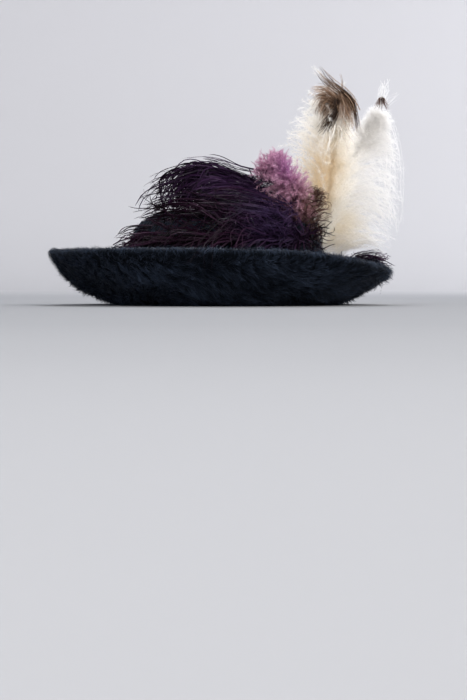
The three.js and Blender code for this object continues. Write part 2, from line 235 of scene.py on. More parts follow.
class Fibres:
    """Fibres gathered as flat tapering ribbons, each ending in a point, until one mesh is made of them."""

    def __init__(self) -> None:
        """Starts with no fibres."""
        self.points: list[np.ndarray] = []
        self.faces: dict[int, list[np.ndarray]] = {4: [], 3: []}
        self.values: dict[str, list[np.ndarray]] = {"tone": [], "stain": [], "tint_and_painted_light": []}
        self.size = 0

    def add(
        self,
        spines: np.ndarray,
        facings: np.ndarray,
        half_width: np.ndarray,
        tone: np.ndarray,
        roll: np.ndarray,
        taper: float = 0.75,
        stain: np.ndarray | None = None,
        tint_and_painted_light: np.ndarray | None = None,
    ) -> None:
        """Adds ribbons: at each station a left and a right point, at the last the tip alone.

        The ribbon's width lies along tangent x facing, turned by roll about the tangent, and shrinks
        along the fibre as 1 - taper * u.

        Args:
            spines: the middle lines, (n, k, 3).
            facings: the way each ribbon's flat side looks, (n, 3) or (n, k, 3).
            half_width: half the width at the root, (n,).
            tone: lightness from 0 to 1, (n,) or (n, k).
            roll: degrees of turn about the tangent, (n,).
            taper: the share of the width lost by the tip.
            stain: share of the stain colour, (n, k), or None for none.
            tint_and_painted_light: share of the patch colour of tints and painted light, (n, k), or None for
                none.
        """
        count, stations = spines.shape[:2]
        tangents = unit(np.gradient(spines, axis=1))
        facings = facings if facings.ndim == 3 else facings[:, None, :]
        turn = np.broadcast_to(roll[:, None], (count, stations))
        sides = turned(unit(np.cross(tangents, facings)), tangents, turn)
        u = np.linspace(0, 1, stations)
        halves = half_width[:, None] * (1 - taper * u)
        offset = (sides * halves[..., None])[:, :-1]
        pairs = np.stack([spines[:, :-1] - offset, spines[:, :-1] + offset], axis=2).reshape(count, -1, 3)
        self.points.append(np.concatenate([pairs, spines[:, -1:]], axis=1).reshape(-1, 3))
        each = 2 * stations - 1
        base = self.size + each * np.arange(count)[:, None, None]
        steps = 2 * np.arange(stations - 2)[None, :, None]
        self.faces[4].append((base + steps + np.array([0, 1, 3, 2])).reshape(-1, 4))
        self.faces[3].append((base + np.array([each - 3, each - 2, each - 1])).reshape(-1, 3))
        blank = np.zeros((count, stations))
        rows = {
            "tone": tone if tone.ndim == 2 else np.repeat(tone[:, None], stations, axis=1),
            "stain": blank if stain is None else stain,
            "tint_and_painted_light": blank if tint_and_painted_light is None else tint_and_painted_light,
        }
        for key, numbers in rows.items():
            doubled = np.repeat(numbers, 2, axis=1)[:, :-1]
            self.values[key].append(doubled.ravel())
        self.size += count * each

    def mesh(self, name: str) -> bpy.types.Object:
        """Makes one object of all the fibres.

        Args:
            name: the object's name.

        Returns:
            The object, nothing of it under the floor.
        """
        points = np.concatenate(self.points)
        points[:, 2] = np.maximum(points[:, 2], FLOOR_CLEARANCE)
        faces = [np.concatenate(groups) for groups in self.faces.values()]
        values = {key: np.concatenate(numbers) for key, numbers in self.values.items()}
        return build_mesh(name, points, faces, values)


# Materials


def colour(hex_code: str) -> tuple[float, float, float, float]:
    """Turns an sRGB hex code into linear red, green, blue and alpha.

    Args:
        hex_code: six hex digits.

    Returns:
        The linear colour.
    """
    shares = [int(hex_code[i : i + 2], 16) / 255 for i in (0, 2, 4)]
    linear = [s / 12.92 if s <= 0.04045 else ((s + 0.055) / 1.055) ** 2.4 for s in shares]
    return (*linear, 1.0)


def add_node(
    tree: bpy.types.NodeTree,
    kind: str,
    settings: dict[str | int, object] | None = None,
    links: dict[str | int, bpy.types.NodeSocket] | None = None,
) -> bpy.types.Node:
    """Adds a node with its settings and links.

    Args:
        tree: the material's node tree.
        kind: the node's type.
        settings: values for the node's properties, or for its sockets by name or number.
        links: the output socket that feeds each input.

    Returns:
        The node.
    """
    node = tree.nodes.new(kind)
    for key, value in (settings or {}).items():
        if isinstance(key, str) and hasattr(node, key):
            setattr(node, key, value)
        else:
            node.inputs[key].default_value = value
    for key, source in (links or {}).items():
        tree.links.new(source, node.inputs[key])
    return node


def blend_colour(
    tree: bpy.types.NodeTree, share: bpy.types.NodeSocket, low: object, high: object
) -> bpy.types.NodeSocket:
    """Mixes two colours, each a hex code or a socket, by a share from 0 to 1.

    Args:
        tree: the material's node tree.
        share: the socket that gives the share of the second colour.
        low: the first colour.
        high: the second colour.

    Returns:
        The mixed colour's socket.
    """
    settings: dict[str | int, object] = {"data_type": "RGBA"}
    links: dict[str | int, bpy.types.NodeSocket] = {0: share}
    for socket, value in ((6, low), (7, high)):
        if isinstance(value, str):
            settings[socket] = colour(value)
        else:
            links[socket] = value
    return add_node(tree, "ShaderNodeMix", settings, links).outputs[2]


def attribute(tree: bpy.types.NodeTree, name: str) -> bpy.types.NodeSocket:
    """The socket of a named number that the mesh carries at its vertices."""
    return add_node(tree, "ShaderNodeAttribute", {"attribute_name": name}).outputs["Fac"]


class Finish:
    """A real material's finish, which is made into a Blender material."""

    name: str

    def shader(self, tree: bpy.types.NodeTree) -> bpy.types.Node:
        """Builds the finish's nodes up to its shader; each finish has its own."""
        raise NotImplementedError

    def material(self) -> bpy.types.Material:
        """Makes the material: the finish's shader, sent to the output.

        Returns:
            The material.
        """
        material = bpy.data.materials.new(self.name)
        material.use_nodes = True
        tree = material.node_tree
        tree.nodes.clear()
        add_node(tree, "ShaderNodeOutputMaterial", links={"Surface": self.shader(tree).outputs[0]})
        return material


@dataclass(frozen=True)
class PlushNap(Finish):
    """Beaver plush nap: dyed silky fur, brushed flat. The eye sees blue-black hair with a cool soft gloss
    along each tuft; the grey-blue edge where it turns to the light is a painted rim highlight."""

    name: str = "beaver_plush_nap"
    deep: str = "020408"
    light: str = "3d4758"
    # A grey-blue laid on the hairs at the brim's edge: a painted rim highlight.
    rim_highlight: str = "414b5a"
    roughness: float = 0.55
    gloss: float = 0.19
    gloss_tint: str = "9fb0d0"
    sheen: float = 0.2
    sheen_tint: str = "7a8aa6"

    def shader(self, tree: bpy.types.NodeTree) -> bpy.types.Node:
        """Builds the nodes: hair by hair tone, a lighter tip, and grey-blue where the hairs carry it, a
        painted rim highlight.

        Args:
            tree: the material's node tree.

        Returns:
            The shader.
        """
        base = blend_colour(tree, attribute(tree, "tone"), self.deep, self.light)
        base = blend_colour(tree, attribute(tree, "tint_and_painted_light"), base, self.rim_highlight)
        return add_node(
            tree,
            "ShaderNodeBsdfPrincipled",
            {
                "Roughness": self.roughness,
                "Specular IOR Level": self.gloss,
                "Specular Tint": colour(self.gloss_tint),
                "Sheen Weight": self.sheen,
                "Sheen Tint": colour(self.sheen_tint),
                "Sheen Roughness": 0.4,
            },
            {"Base Color": base},
        )


@dataclass(frozen=True)
class Felt(Finish):
    """Fur felt, blocked and dyed: matt, nearly black, with a fine matted grain about 1.5 mm across."""

    name: str = "dyed_fur_felt"
    deep: str = "04060a"
    light: str = "0e131b"
    grain: float = 1.5

    def shader(self, tree: bpy.types.NodeTree) -> bpy.types.Node:
        """Builds the nodes: mottled by a noise of the grain's size, which also gives the bump.

        Args:
            tree: the material's node tree.

        Returns:
            The shader.
        """
        place = add_node(tree, "ShaderNodeTexCoord").outputs["Object"]
        mottle = add_node(
            tree, "ShaderNodeTexNoise", {"Scale": 1 / (self.grain * MM), "Detail": 3.0}, {"Vector": place}
        )
        base = blend_colour(tree, mottle.outputs["Fac"], self.deep, self.light)
        bump = add_node(
            tree, "ShaderNodeBump", {"Strength": 0.5, "Distance": 0.4 * MM}, {"Height": mottle.outputs["Fac"]}
        )
        return add_node(
            tree,
            "ShaderNodeBsdfPrincipled",
            {"Roughness": 0.95, "Specular IOR Level": 0.08},
            {"Base Color": base, "Normal": bump.outputs["Normal"]},
        )


@dataclass(frozen=True)
class Grosgrain(Finish):
    """Woven grosgrain ribbon: dull dark brown silk with upright ribs 1.2 mm apart, paler on their crests as a
    painted highlight.

    wave_radians is what the wave texture's sine runs through in one unit of its map."""

    name: str = "woven_grosgrain"
    deep: str = "17100c"
    light: str = "3b2a20"
    ribs: int = 520
    wave_radians: float = 20.0

    def shader(self, tree: bpy.types.NodeTree) -> bpy.types.Node:
        """Builds the nodes: ribs as a sine wave round the band's own map, their crests painted paler as a
        painted highlight, in patches of a slow noise.

        Args:
            tree: the material's node tree.

        Returns:
            The shader.
        """
        place = add_node(tree, "ShaderNodeUVMap", {"uv_map": "band"}).outputs["UV"]
        rib = add_node(
            tree,
            "ShaderNodeTexWave",
            {
                "wave_type": "BANDS",
                "bands_direction": "X",
                "Scale": self.ribs * math.tau / self.wave_radians,
                "Distortion": 0.0,
            },
            {"Vector": place},
        )
        # A slow noise breaks the crests' painted highlight into patches.
        crest_patches = add_node(tree, "ShaderNodeTexNoise", {"Scale": 9.0, "Detail": 4.0}, {"Vector": place})
        share = add_node(
            tree, "ShaderNodeMath", {"operation": "MULTIPLY"}, {0: rib.outputs["Fac"], 1: crest_patches.outputs["Fac"]}
        )
        base = blend_colour(tree, share.outputs[0], self.deep, self.light)
        bump = add_node(
            tree, "ShaderNodeBump", {"Strength": 0.6, "Distance": 0.4 * MM}, {"Height": rib.outputs["Fac"]}
        )
        return add_node(
            tree,
            "ShaderNodeBsdfPrincipled",
            {"Roughness": 0.7, "Sheen Weight": 0.2},
            {"Base Color": base, "Normal": bump.outputs["Normal"]},
        )


@dataclass(frozen=True)
class Feather(Finish):
    """Ostrich flues: thin keratin threads, dyed or bleached. Light passes through them, so that a thick
    plume glows inside and only its dark hollows keep the deep colour.

    deep and light are the ends of the tone, stain_deep and stain_light those of tips and streaks, and
    tint_and_painted_light is the colour of a patch: a tint, and on the cream plume a painted shade."""

    name: str
    deep: str
    light: str
    stain_deep: str
    stain_light: str
    tint_and_painted_light: str
    passing: float = 0.35
    roughness: float = 0.5
    sheen: float = 0.2
    gloss: float = 0.4

    def shader(self, tree: bpy.types.NodeTree) -> bpy.types.Node:
        """Builds the nodes: tone, stain, and the patch colour of tints and painted shade, from the flues,
        part of the light let through.

        Args:
            tree: the material's node tree.

        Returns:
            The shader.
        """
        tone = attribute(tree, "tone")
        base = blend_colour(tree, tone, self.deep, self.light)
        base = blend_colour(tree, attribute(tree, "tint_and_painted_light"), base, self.tint_and_painted_light)
        stain = blend_colour(tree, tone, self.stain_deep, self.stain_light)
        base = blend_colour(tree, attribute(tree, "stain"), base, stain)
        surface = add_node(
            tree,
            "ShaderNodeBsdfPrincipled",
            {
                "Roughness": self.roughness,
                "Specular IOR Level": self.gloss,
                "Sheen Weight": self.sheen,
                "Sheen Tint": colour(self.light),
            },
            {"Base Color": base},
        )
        lit_through = add_node(tree, "ShaderNodeBsdfTranslucent", links={"Color": base})
        return add_node(
            tree,
            "ShaderNodeMixShader",
            {0: self.passing},
            {1: surface.outputs[0], 2: lit_through.outputs[0]},
        )


@dataclass(frozen=True)
class QuillHorn(Finish):
    """A feather's shaft: pale horn, smooth and a little waxy, streaked lengthwise."""

    name: str
    deep: str
    light: str

    def shader(self, tree: bpy.types.NodeTree) -> bpy.types.Node:
        """Builds the nodes: a stretched noise of 3 mm streaks under a waxy gloss.

        Args:
            tree: the material's node tree.

        Returns:
            The shader.
        """
        place = add_node(tree, "ShaderNodeTexCoord").outputs["Object"]
        long_way = add_node(tree, "ShaderNodeMapping", {"Scale": (1.0, 1.0, 0.15)}, {"Vector": place})
        streaks = add_node(
            tree, "ShaderNodeTexNoise", {"Scale": 1 / (3 * MM)}, {"Vector": long_way.outputs["Vector"]}
        )
        base = blend_colour(tree, streaks.outputs["Fac"], self.deep, self.light)
        waxy = {"Roughness": 0.35, "IOR": 1.55}
        return add_node(tree, "ShaderNodeBsdfPrincipled", waxy, {"Base Color": base})


@dataclass(frozen=True)
class StudioPaper(Finish):
    """Seamless studio paper: matt, pale and even, a little darker on the floor than up the wall."""

    name: str = "studio_paper"
    floor: str = "7a7b7e"
    wall: str = "c0c0c3"

    def shader(self, tree: bpy.types.NodeTree) -> bpy.types.Node:
        """Builds the nodes: two greys mixed by how far up the wall a place is.

        Args:
            tree: the material's node tree.

        Returns:
            The shader.
        """
        base = blend_colour(tree, attribute(tree, "wall"), self.floor, self.wall)
        return add_node(tree, "ShaderNodeBsdfPrincipled", {"Roughness": 0.95}, {"Base Color": base})


def dress(piece: bpy.types.Object, material: bpy.types.Material, slot: str, *nodes: str) -> bpy.types.Object:
    """Gives a piece its material and its ride, and lets it stand for CAD nodes.

    Args:
        piece: the piece, in place.
        material: its finish.
        slot: the record's slot that the finish belongs to; not used.
        nodes: the CAD nodes that the piece stands for.

    Returns:
        The piece.
    """
    piece.data.materials.append(material)
    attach(piece, "root")
    if nodes:
        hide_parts(*nodes)
    LOG.info("%s: %d faces", piece.name, len(piece.data.polygons))
    return piece


# The hat's form


@dataclass(frozen=True)
class HatForm:
    """The surfaces that everything else is laid on, from the same driving sizes as the frame's solids."""

    head_centre: tuple[float, float] = (3.0, 0.0)
    head_half: tuple[float, float] = (98.0, 103.0)
    brim_centre: tuple[float, float] = (-3.0, 0.0)
    brim_half: tuple[float, float] = (178.0, 182.0)
    brim_wall: float = 3.0
    brim_flat: float = 7.0
    brim_curl: float = 1.5
    edge_rise: tuple[float, ...] = (31, 27, 12, 7, 7, 17, 50, 53, 53.5, 53, 50, 40)
    crown_wall: float = 2.5
    crown_end: float = 0.985
    crown_profile: tuple[tuple[float, float], ...] = (
        (3.3, 1.0),
        (28, 1.015),
        (56, 1.01),
        (76, 0.955),
        (90, 0.82),
        (98, 0.54),
        (100, 0.0),
    )

    def ellipse(
        self, centre: tuple[float, float], half: tuple[float, float], bearing: np.ndarray
    ) -> np.ndarray:
        """Points of an ellipse in plan at bearings, centre + half * (cos, sin), as (..., 2)."""
        angle = np.radians(bearing)
        return np.stack([centre[0] + half[0] * np.cos(angle), centre[1] + half[1] * np.sin(angle)], axis=-1)

    def underside(self, bearing: np.ndarray, across: np.ndarray) -> np.ndarray:
        """The brim's underside: straight across in plan, flat for brim_flat, then rising as across^curl.

        Args:
            bearing: degrees about the opening.
            across: share of the way from the opening to the edge.

        Returns:
            Points, (..., 3).
        """
        bearing, across = np.broadcast_arrays(np.asarray(bearing, float), np.asarray(across, float))
        inner = self.ellipse(self.head_centre, self.head_half, bearing)
        outer = self.ellipse(self.brim_centre, self.brim_half, bearing)
        flat_share = self.brim_flat / np.linalg.norm(outer - inner, axis=-1)
        curled = np.maximum(0, (across - flat_share) / (1 - flat_share))
        rows = np.array(self.edge_rise, float)[:, None]
        rise = through(rows, (bearing % 360) / (360 / len(rows)), closed=True)[..., 0]
        plan = inner + (outer - inner) * across[..., None]
        return np.concatenate([plan, (rise * curled**self.brim_curl)[..., None]], axis=-1)

    def brim_axes(self, bearing: np.ndarray, across: np.ndarray) -> tuple[np.ndarray, np.ndarray, np.ndarray]:
        """The underside's own directions, from steps of one degree and a hundredth of the way across.

        Args:
            bearing: degrees about the opening.
            across: share of the way from the opening to the edge.

        Returns:
            Unit vectors round the hat, outwards and up off the felt.
        """
        around = self.underside(bearing + 1, across) - self.underside(bearing - 1, across)
        outward = self.underside(bearing, across + 0.01) - self.underside(bearing, across)
        up = unit(np.cross(outward, around))
        up = np.where(up[..., 2:] < 0, -up, up)
        return unit(around), unit(outward), up

    def brim_point(self, bearing: np.ndarray, across: np.ndarray, lift: np.ndarray) -> np.ndarray:
        """A point at some lift over the underside, along its own up direction."""
        up = self.brim_axes(bearing, across)[2]
        return self.underside(bearing, across) + up * np.asarray(lift)[..., None]

    def brim_span(self, bearing: np.ndarray) -> np.ndarray:
        """The brim's width in plan at bearings."""
        inner = self.ellipse(self.head_centre, self.head_half, bearing)
        return np.linalg.norm(self.ellipse(self.brim_centre, self.brim_half, bearing) - inner, axis=-1)

    def crown_skin(self, bearing: np.ndarray, climb: np.ndarray) -> np.ndarray:
        """The crown's outer wall: the head oval, one wall wider, times the profile's width at its height.

        Args:
            bearing: degrees about the opening.
            climb: share of the way through the profile's rows.

        Returns:
            Points, (..., 3).
        """
        bearing, climb = np.broadcast_arrays(np.asarray(bearing, float), np.asarray(climb, float))
        row = through(np.array(self.crown_profile), climb * (len(self.crown_profile) - 1))
        half = (self.head_half[0] + self.crown_wall, self.head_half[1] + self.crown_wall)
        oval = self.ellipse((0.0, 0.0), half, bearing) * row[..., 1:]
        plan = oval + np.array(self.head_centre)
        return np.concatenate([plan, row[..., :1]], axis=-1)

    def crown_axes(self, bearing: np.ndarray, climb: np.ndarray) -> tuple[np.ndarray, np.ndarray, np.ndarray]:
        """The crown wall's own directions, from steps of one degree and a hundredth of the way up.

        Args:
            bearing: degrees about the opening.
            climb: share of the way up, held off the foot and the very top.

        Returns:
            Unit vectors round the hat, upwards and out.
        """
        inside = np.clip(climb, 0.01, self.crown_end)
        around = self.crown_skin(bearing + 1, inside) - self.crown_skin(bearing - 1, inside)
        upward = self.crown_skin(bearing, inside + 0.01) - self.crown_skin(bearing, inside - 0.01)
        return unit(around), unit(upward), unit(np.cross(around, upward))


class Face(Enum):
    """The three napped faces of the hat."""

    UNDER = "under the brim"
    OVER = "over the brim"
    CROWN = "round the crown"


@dataclass(frozen=True)
class Nap:
    """Nap brushed over one face, in tufts: hairs start round a tuft's middle and draw together at its tip.

    share is how far across the brim, or up the crown, the nap reaches. rise is how far its tips stand off
    the felt, and stray how much further a few hairs stand. In degrees, swirl is the swing of its lie,
    edge_lie the lie at the brim's edge, tuft_twist and hair_twist how far tufts and hairs stray from it,
    bend how far a hair bends on its way, and roll how far its flat side turns. tone is the tufts' mean
    lightness and its spread, hair_tone the hairs' own spread, wave_painted_light how much lighter the pile's
    slow waves paint their crests and how much darker their troughs, a painted highlight and shade, wave_rise
    what they add to rise, and rim_highlight the share of a grey-blue painted rim highlight at the brim's
    edge. The brim's plan is taken as a ring from opening_radius out by ring_span, slope is how much of a
    step outwards shows in plan, and wall_radius is the crown's, from which a flat step is drawn in."""

    face: Face
    tufts: int
    hairs: int
    share: tuple[float, float]
    length: tuple[float, float] = (9.0, 15.0)
    rise: tuple[float, float] = (1.4, 3.6)
    half_width: float = 0.36
    spread: float = 3.6
    gather: float = 0.7
    swirl: float = 34.0
    stray: float = 0.0
    stray_power: int = 16
    stations: int = 4
    edge_lie: float = 78.0
    tuft_twist: float = 11.0
    hair_twist: float = 7.0
    bend: float = 26.0
    roll: float = 28.0
    tone: tuple[float, float] = (0.38, 0.22)
    hair_tone: float = 0.14
    wave_painted_light: float = 0.38
    wave_rise: float = 0.4
    rim_highlight: float = 0.4
    opening_radius: float = 100.0
    ring_span: float = 80.0
    slope: float = 0.86
    wall_radius: float = 85.0

    def seats(self, rng: np.random.Generator) -> tuple[np.ndarray, np.ndarray]:
        """Spreads the tufts evenly by the golden angle, jittered, with radius^2 growing evenly on the brim
        and the way up growing as even^1.15 on the crown, which narrows.

        Args:
            rng: the piece's random numbers.

        Returns:
            Bearings and shares of the way across or up.
        """
        order = np.arange(self.tufts) + 0.5
        bearing = (order * GOLDEN_ANGLE + rng.uniform(-3, 3, self.tufts)) % 360
        even = (order + rng.uniform(-0.5, 0.5, self.tufts)) / self.tufts
        low, high = self.share
        if self.face is Face.CROWN:
            return bearing, low + (high - low) * even**1.15
        near, far = self.opening_radius + self.ring_span * low, self.opening_radius + self.ring_span * high
        radius = np.sqrt(near**2 + even * (far**2 - near**2))
        return bearing, (radius - self.opening_radius) / self.ring_span

    def lie(self, bearing: np.ndarray, share: np.ndarray) -> np.ndarray:
        """The hairs' lie: slow swirls, a sum of three sines, turned nearly straight out near the edge.

        Args:
            bearing: degrees about the opening.
            share: share of the way across or up.

        Returns:
            Degrees from round the hat towards outwards or up.
        """
        turn = np.radians(bearing)
        swirl = np.sin(3 * turn + 4 * share + 0.7) + 0.6 * np.sin(7 * turn - 9 * share + 2.1)
        swirl = swirl + 0.35 * np.sin(13 * turn + 17 * share)
        angle = self.swirl * swirl
        if self.face is Face.CROWN:
            return angle
        edge = smooth_step(share, 0.8, 0.99)
        return angle * (1 - edge) + self.edge_lie * edge

    def drift(self, bearing: np.ndarray, share: np.ndarray) -> np.ndarray:
        """Slow waves of the pile, a sum of three sines: crests stand higher and are painted lighter, troughs
        stand lower and are painted darker, a painted highlight and shade.

        Args:
            bearing: degrees about the opening.
            share: share of the way across or up.

        Returns:
            The waves, from -1 to 1.
        """
        turn = np.radians(bearing)
        waves = 0.5 * np.sin(5 * turn + 7 * share + 1.0) + 0.3 * np.sin(11 * turn - 10 * share + 0.4)
        return waves + 0.2 * np.sin(19 * turn + 23 * share)

    def trim(self, share: np.ndarray) -> np.ndarray:
        """Cuts brim nap down to half its length at the edge.

        Args:
            share: share of the way across or up.

        Returns:
            The nap's length beside its full length.
        """
        if self.face is Face.CROWN:
            return np.ones_like(share)
        return 1 - 0.5 * smooth_step(share, 0.72, 0.96)

    def grow(self, form: HatForm, rng: np.random.Generator) -> Fibres:
        """Lays every hair as a path of steps on the face, lifted off it as 1 - (1 - u)^2 towards its tip
        and darker at its root.

        Args:
            form: the hat's surfaces.
            rng: the piece's random numbers.

        Returns:
            The hairs.
        """
        bearing, share = self.seats(rng)
        tuft_turn = self.lie(bearing, share) + rng.normal(0, self.tuft_twist, self.tufts)
        tuft_length = rng.uniform(*self.length, self.tufts) * self.trim(share)
        drift = self.drift(bearing, share)
        # The pile's waves paint crests lighter and troughs darker: painted highlight and shade, added to the
        # tufts' own tone.
        tuft_tone_and_light = np.clip(rng.normal(*self.tone, self.tufts) + self.wave_painted_light * drift, 0, 1)
        tuft_rise = rng.uniform(*self.rise, self.tufts) * (1 + self.wave_rise * drift)
        pick = np.repeat(np.arange(self.tufts), self.hairs)
        count = len(pick)
        u = np.linspace(0, 1, self.stations)[None, :]
        hair_turn = (tuft_turn[pick] + rng.normal(0, self.hair_twist, count))[:, None]
        turn = np.radians(hair_turn + self.bend * (u - 0.4) * rng.normal(0, 1, count)[:, None])
        length = (tuft_length[pick] * rng.uniform(0.65, 1.1, count))[:, None]
        start = rng.normal(0, self.spread / 2, (count, 2))
        closing = (1 - self.gather * u)[..., None]
        offset = start[:, None, :] * closing
        offset = offset + np.stack([np.cos(turn), np.sin(turn)], axis=-1) * (length * u)[..., None]
        low, high = 0.4, 1.15
        stand = rng.uniform(low, high, count)
        stand = stand * (1 + self.stray * (stand / high) ** self.stray_power)
        lift = (tuft_rise[pick] * stand)[:, None] * (1 - (1 - u) ** 2)
        spines, ups = self.settle(form, bearing[pick], share[pick], offset, lift)
        tone = np.clip(tuft_tone_and_light[pick] + rng.normal(0, self.hair_tone, count), 0, 1)
        # Grey-blue near the brim's edge, growing towards the tips: a painted rim highlight.
        rim_highlight = np.zeros(count)
        if self.face is not Face.CROWN:
            rim_highlight = smooth_step(share[pick], 0.86, 1.0) * self.rim_highlight
        fibres = Fibres()
        fibres.add(
            spines,
            ups,
            self.half_width * rng.uniform(0.6, 1.2, count),
            tone[:, None] * (0.45 + 0.55 * u),
            rng.normal(0, self.roll, count),
            tint_and_painted_light=rim_highlight[:, None] * u,
        )
        return fibres

    def settle(
        self, form: HatForm, bearing: np.ndarray, share: np.ndarray, offset: np.ndarray, lift: np.ndarray
    ) -> tuple[np.ndarray, np.ndarray]:
        """Turns steps in millimetres round and across a face into points on it. On the crown the steps are
        flat and then drawn in by step^2 / (2 wall_radius).

        Args:
            form: the hat's surfaces.
            bearing: each hair's seat round the hat, (n,).
            share: each hair's seat across or up, (n,).
            offset: steps round and across or up, (n, k, 2).
            lift: height off the face, (n, k).

        Returns:
            Points (n, k, 3), and the face's outward direction at each seat, (n, 3).
        """
        if self.face is Face.CROWN:
            around, upward, out = form.crown_axes(bearing, share)
            seat = form.crown_skin(bearing, share)
            flat = seat[:, None] + around[:, None] * offset[..., :1] + upward[:, None] * offset[..., 1:]
            inward = np.sum(offset**2, axis=-1) / (2 * self.wall_radius)
            return flat + out[:, None] * (lift - inward)[..., None], out
        radius = np.linalg.norm(form.underside(bearing, share)[:, :2] - np.array(form.head_centre), axis=-1)
        bearings = bearing[:, None] + np.degrees(offset[..., 0] / radius[:, None])
        shares = share[:, None] + offset[..., 1] / form.brim_span(bearing)[:, None] * self.slope
        heights = -lift if self.face is Face.UNDER else form.brim_wall + lift
        up = form.brim_axes(bearing, share)[2]
        return form.brim_point(bearings, shares, heights), -up if self.face is Face.UNDER else up


@dataclass(frozen=True)
class Brim:
    """The turned-up brim: a felt shell with nap under it, over it and rolled across its edge.

    The edge's hairs start at edge_start degrees about the edge line, measured up from straight out, and turn
    down by edge_reach. They stand off it by edge_stand, a few by up to edge_stray more, and never by more
    than floor_share of the edge's height over the floor."""

    form: HatForm
    nap: PlushNap
    felt: Felt
    bearings: int = 144
    steps: int = 16
    under: Nap = Nap(
        Face.UNDER, tufts=4200, hairs=12, share=(0.0, 0.965), gather=0.55, stray=1.1, stations=3
    )
    over: Nap = Nap(
        Face.OVER, tufts=2300, hairs=12, share=(0.04, 0.975), half_width=0.42, gather=0.45, stations=3
    )
    edge_hairs: int = 11000
    edge_start: tuple[float, float] = (55.0, 150.0)
    edge_reach: tuple[float, float] = (110.0, 225.0)
    edge_stand: tuple[float, float] = (0.3, 4.8)
    edge_stray: float = 5.5
    edge_power: int = 9
    floor_share: float = 0.55

    def shell(self) -> bpy.types.Object:
        """The felt: at each bearing the upper line out, a round edge and the under line back.

        Returns:
            The felt.
        """
        bearing = np.arange(self.bearings)[:, None] * 360 / self.bearings
        across = np.linspace(0, 1, self.steps)[None, :]
        over = self.form.brim_point(bearing, across, np.full(1, self.form.brim_wall))
        under = self.form.brim_point(bearing, across[:, ::-1], np.zeros(1))
        turn = np.linspace(math.pi / 2, -math.pi / 2, 9)[None, 1:-1]
        radius = self.form.brim_wall / 2
        rim = self.form.brim_point(
            bearing, 1 + radius * np.cos(turn) / self.form.brim_span(bearing), radius + radius * np.sin(turn)
        )
        return torus_mesh("brim_felt", np.concatenate([over, rim, under], axis=1))

    def edge(self, rng: np.random.Generator) -> Fibres:
        """Short hair rolled across the edge: each hair turns evenly about the edge line as it stands off it.
        Loose hairs stand in patches, loose^edge_power of edge_stray, most on the plumes' side.

        Args:
            rng: the piece's random numbers.

        Returns:
            The hairs.
        """
        count = self.edge_hairs
        u = np.linspace(0, 1, 4)[None, :]
        bearing = (np.arange(count) * GOLDEN_ANGLE + rng.uniform(-1, 1, count)) % 360
        start = rng.uniform(*self.edge_start, count)
        reach = rng.uniform(*self.edge_reach, count) * rng.uniform(0.5, 1, count)
        turn = np.radians(start[:, None] - reach[:, None] * u)
        loose = rng.uniform(0, 1, count)
        patch = 0.5 + 0.5 * np.sin(np.radians(bearing * 23 + 40 * np.sin(np.radians(bearing * 7))))
        low, high = self.edge_stand
        shaggy = patch * (0.6 + 0.4 * np.cos(np.radians(bearing)))
        stand = low + (high - low) * loose + self.edge_stray * shaggy * loose**self.edge_power
        around, outward, up = self.form.brim_axes(bearing, np.ones(count))
        middle = self.form.brim_point(bearing, np.ones(count), np.full(count, self.form.brim_wall / 2))
        stand = np.minimum(stand, self.floor_share * middle[:, 2])[:, None] * u
        radius = self.form.brim_wall / 2 + 0.2 + stand
        slant = rng.normal(0, 6.0, count) + 4.0 * np.sin(np.radians(bearing * 9))
        spines = (
            middle[:, None]
            + outward[:, None] * (radius * np.cos(turn))[..., None]
            + up[:, None] * (radius * np.sin(turn))[..., None]
            + around[:, None] * (slant[:, None] * u)[..., None]
        )
        facings = outward[:, None] * np.cos(turn)[..., None] + up[:, None] * np.sin(turn)[..., None]
        tone = np.clip(0.12 + 0.32 * patch + rng.normal(0, 0.22, count), 0, 1)
        # Grey-blue on the edge's hairs, in patches, fading towards the tips: a painted rim highlight.
        tint_and_painted_light = np.clip(0.15 * patch[:, None] - 0.2 * u, 0, 1)
        half_width = rng.uniform(0.22, 0.4, count)
        fibres = Fibres()
        fibres.add(spines, facings, half_width, tone, rng.normal(0, 25, count), tint_and_painted_light=tint_and_painted_light)
        return fibres

    def build(self) -> list[bpy.types.Object]:
        """Makes and dresses the brim's pieces.

        Returns:
            The pieces.
        """
        nap = self.nap.material()
        felt = dress(self.shell(), self.felt.material(), "plush", "brim")
        piles = {
            "brim_nap_under": self.under.grow(self.form, np.random.default_rng(SEED)),
            "brim_nap_over": self.over.grow(self.form, np.random.default_rng(SEED + 1)),
            "brim_nap_edge": self.edge(np.random.default_rng(SEED + 2)),
        }
        return [felt, *(dress(pile.mesh(name), nap, "plush") for name, pile in piles.items())]


@dataclass(frozen=True)
class Crown:
    """The hollow domed crown: a felt shell, napped all over."""

    form: HatForm
    nap: PlushNap
    felt: Felt
    bearings: int = 96
    steps: int = 26
    pile: Nap = Nap(
        Face.CROWN, tufts=1900, hairs=12, share=(0.05, 0.97), half_width=0.42, gather=0.45, swirl=42.0,
        stations=3,
    )

    def shell(self) -> bpy.types.Object:
        """The felt: rings from the inner wall's top down to its foot and up the outer wall to the top, the
        inner ones moved in by the wall.

        Returns:
            The felt.
        """
        bearing = np.arange(self.bearings)[None, :] * 360 / self.bearings
        climb = np.linspace(0, self.form.crown_end, self.steps)[:, None]
        outer = self.form.crown_skin(bearing, climb)
        out = self.form.crown_axes(bearing, np.broadcast_to(climb, (self.steps, self.bearings)))[2]
        inner = outer - out * self.form.crown_wall
        inner[0, :, 2] = outer[0, :, 2]
        return capped_mesh("crown_felt", np.concatenate([inner[::-1], outer]))

    def build(self) -> list[bpy.types.Object]:
        """Makes and dresses the crown's pieces.

        Returns:
            The pieces.
        """
        pile = self.pile.grow(self.form, np.random.default_rng(SEED + 3)).mesh("crown_nap")
        return [
            dress(self.shell(), self.felt.material(), "plush", "crown"),
            dress(pile, self.nap.material(), "plush"),
        ]


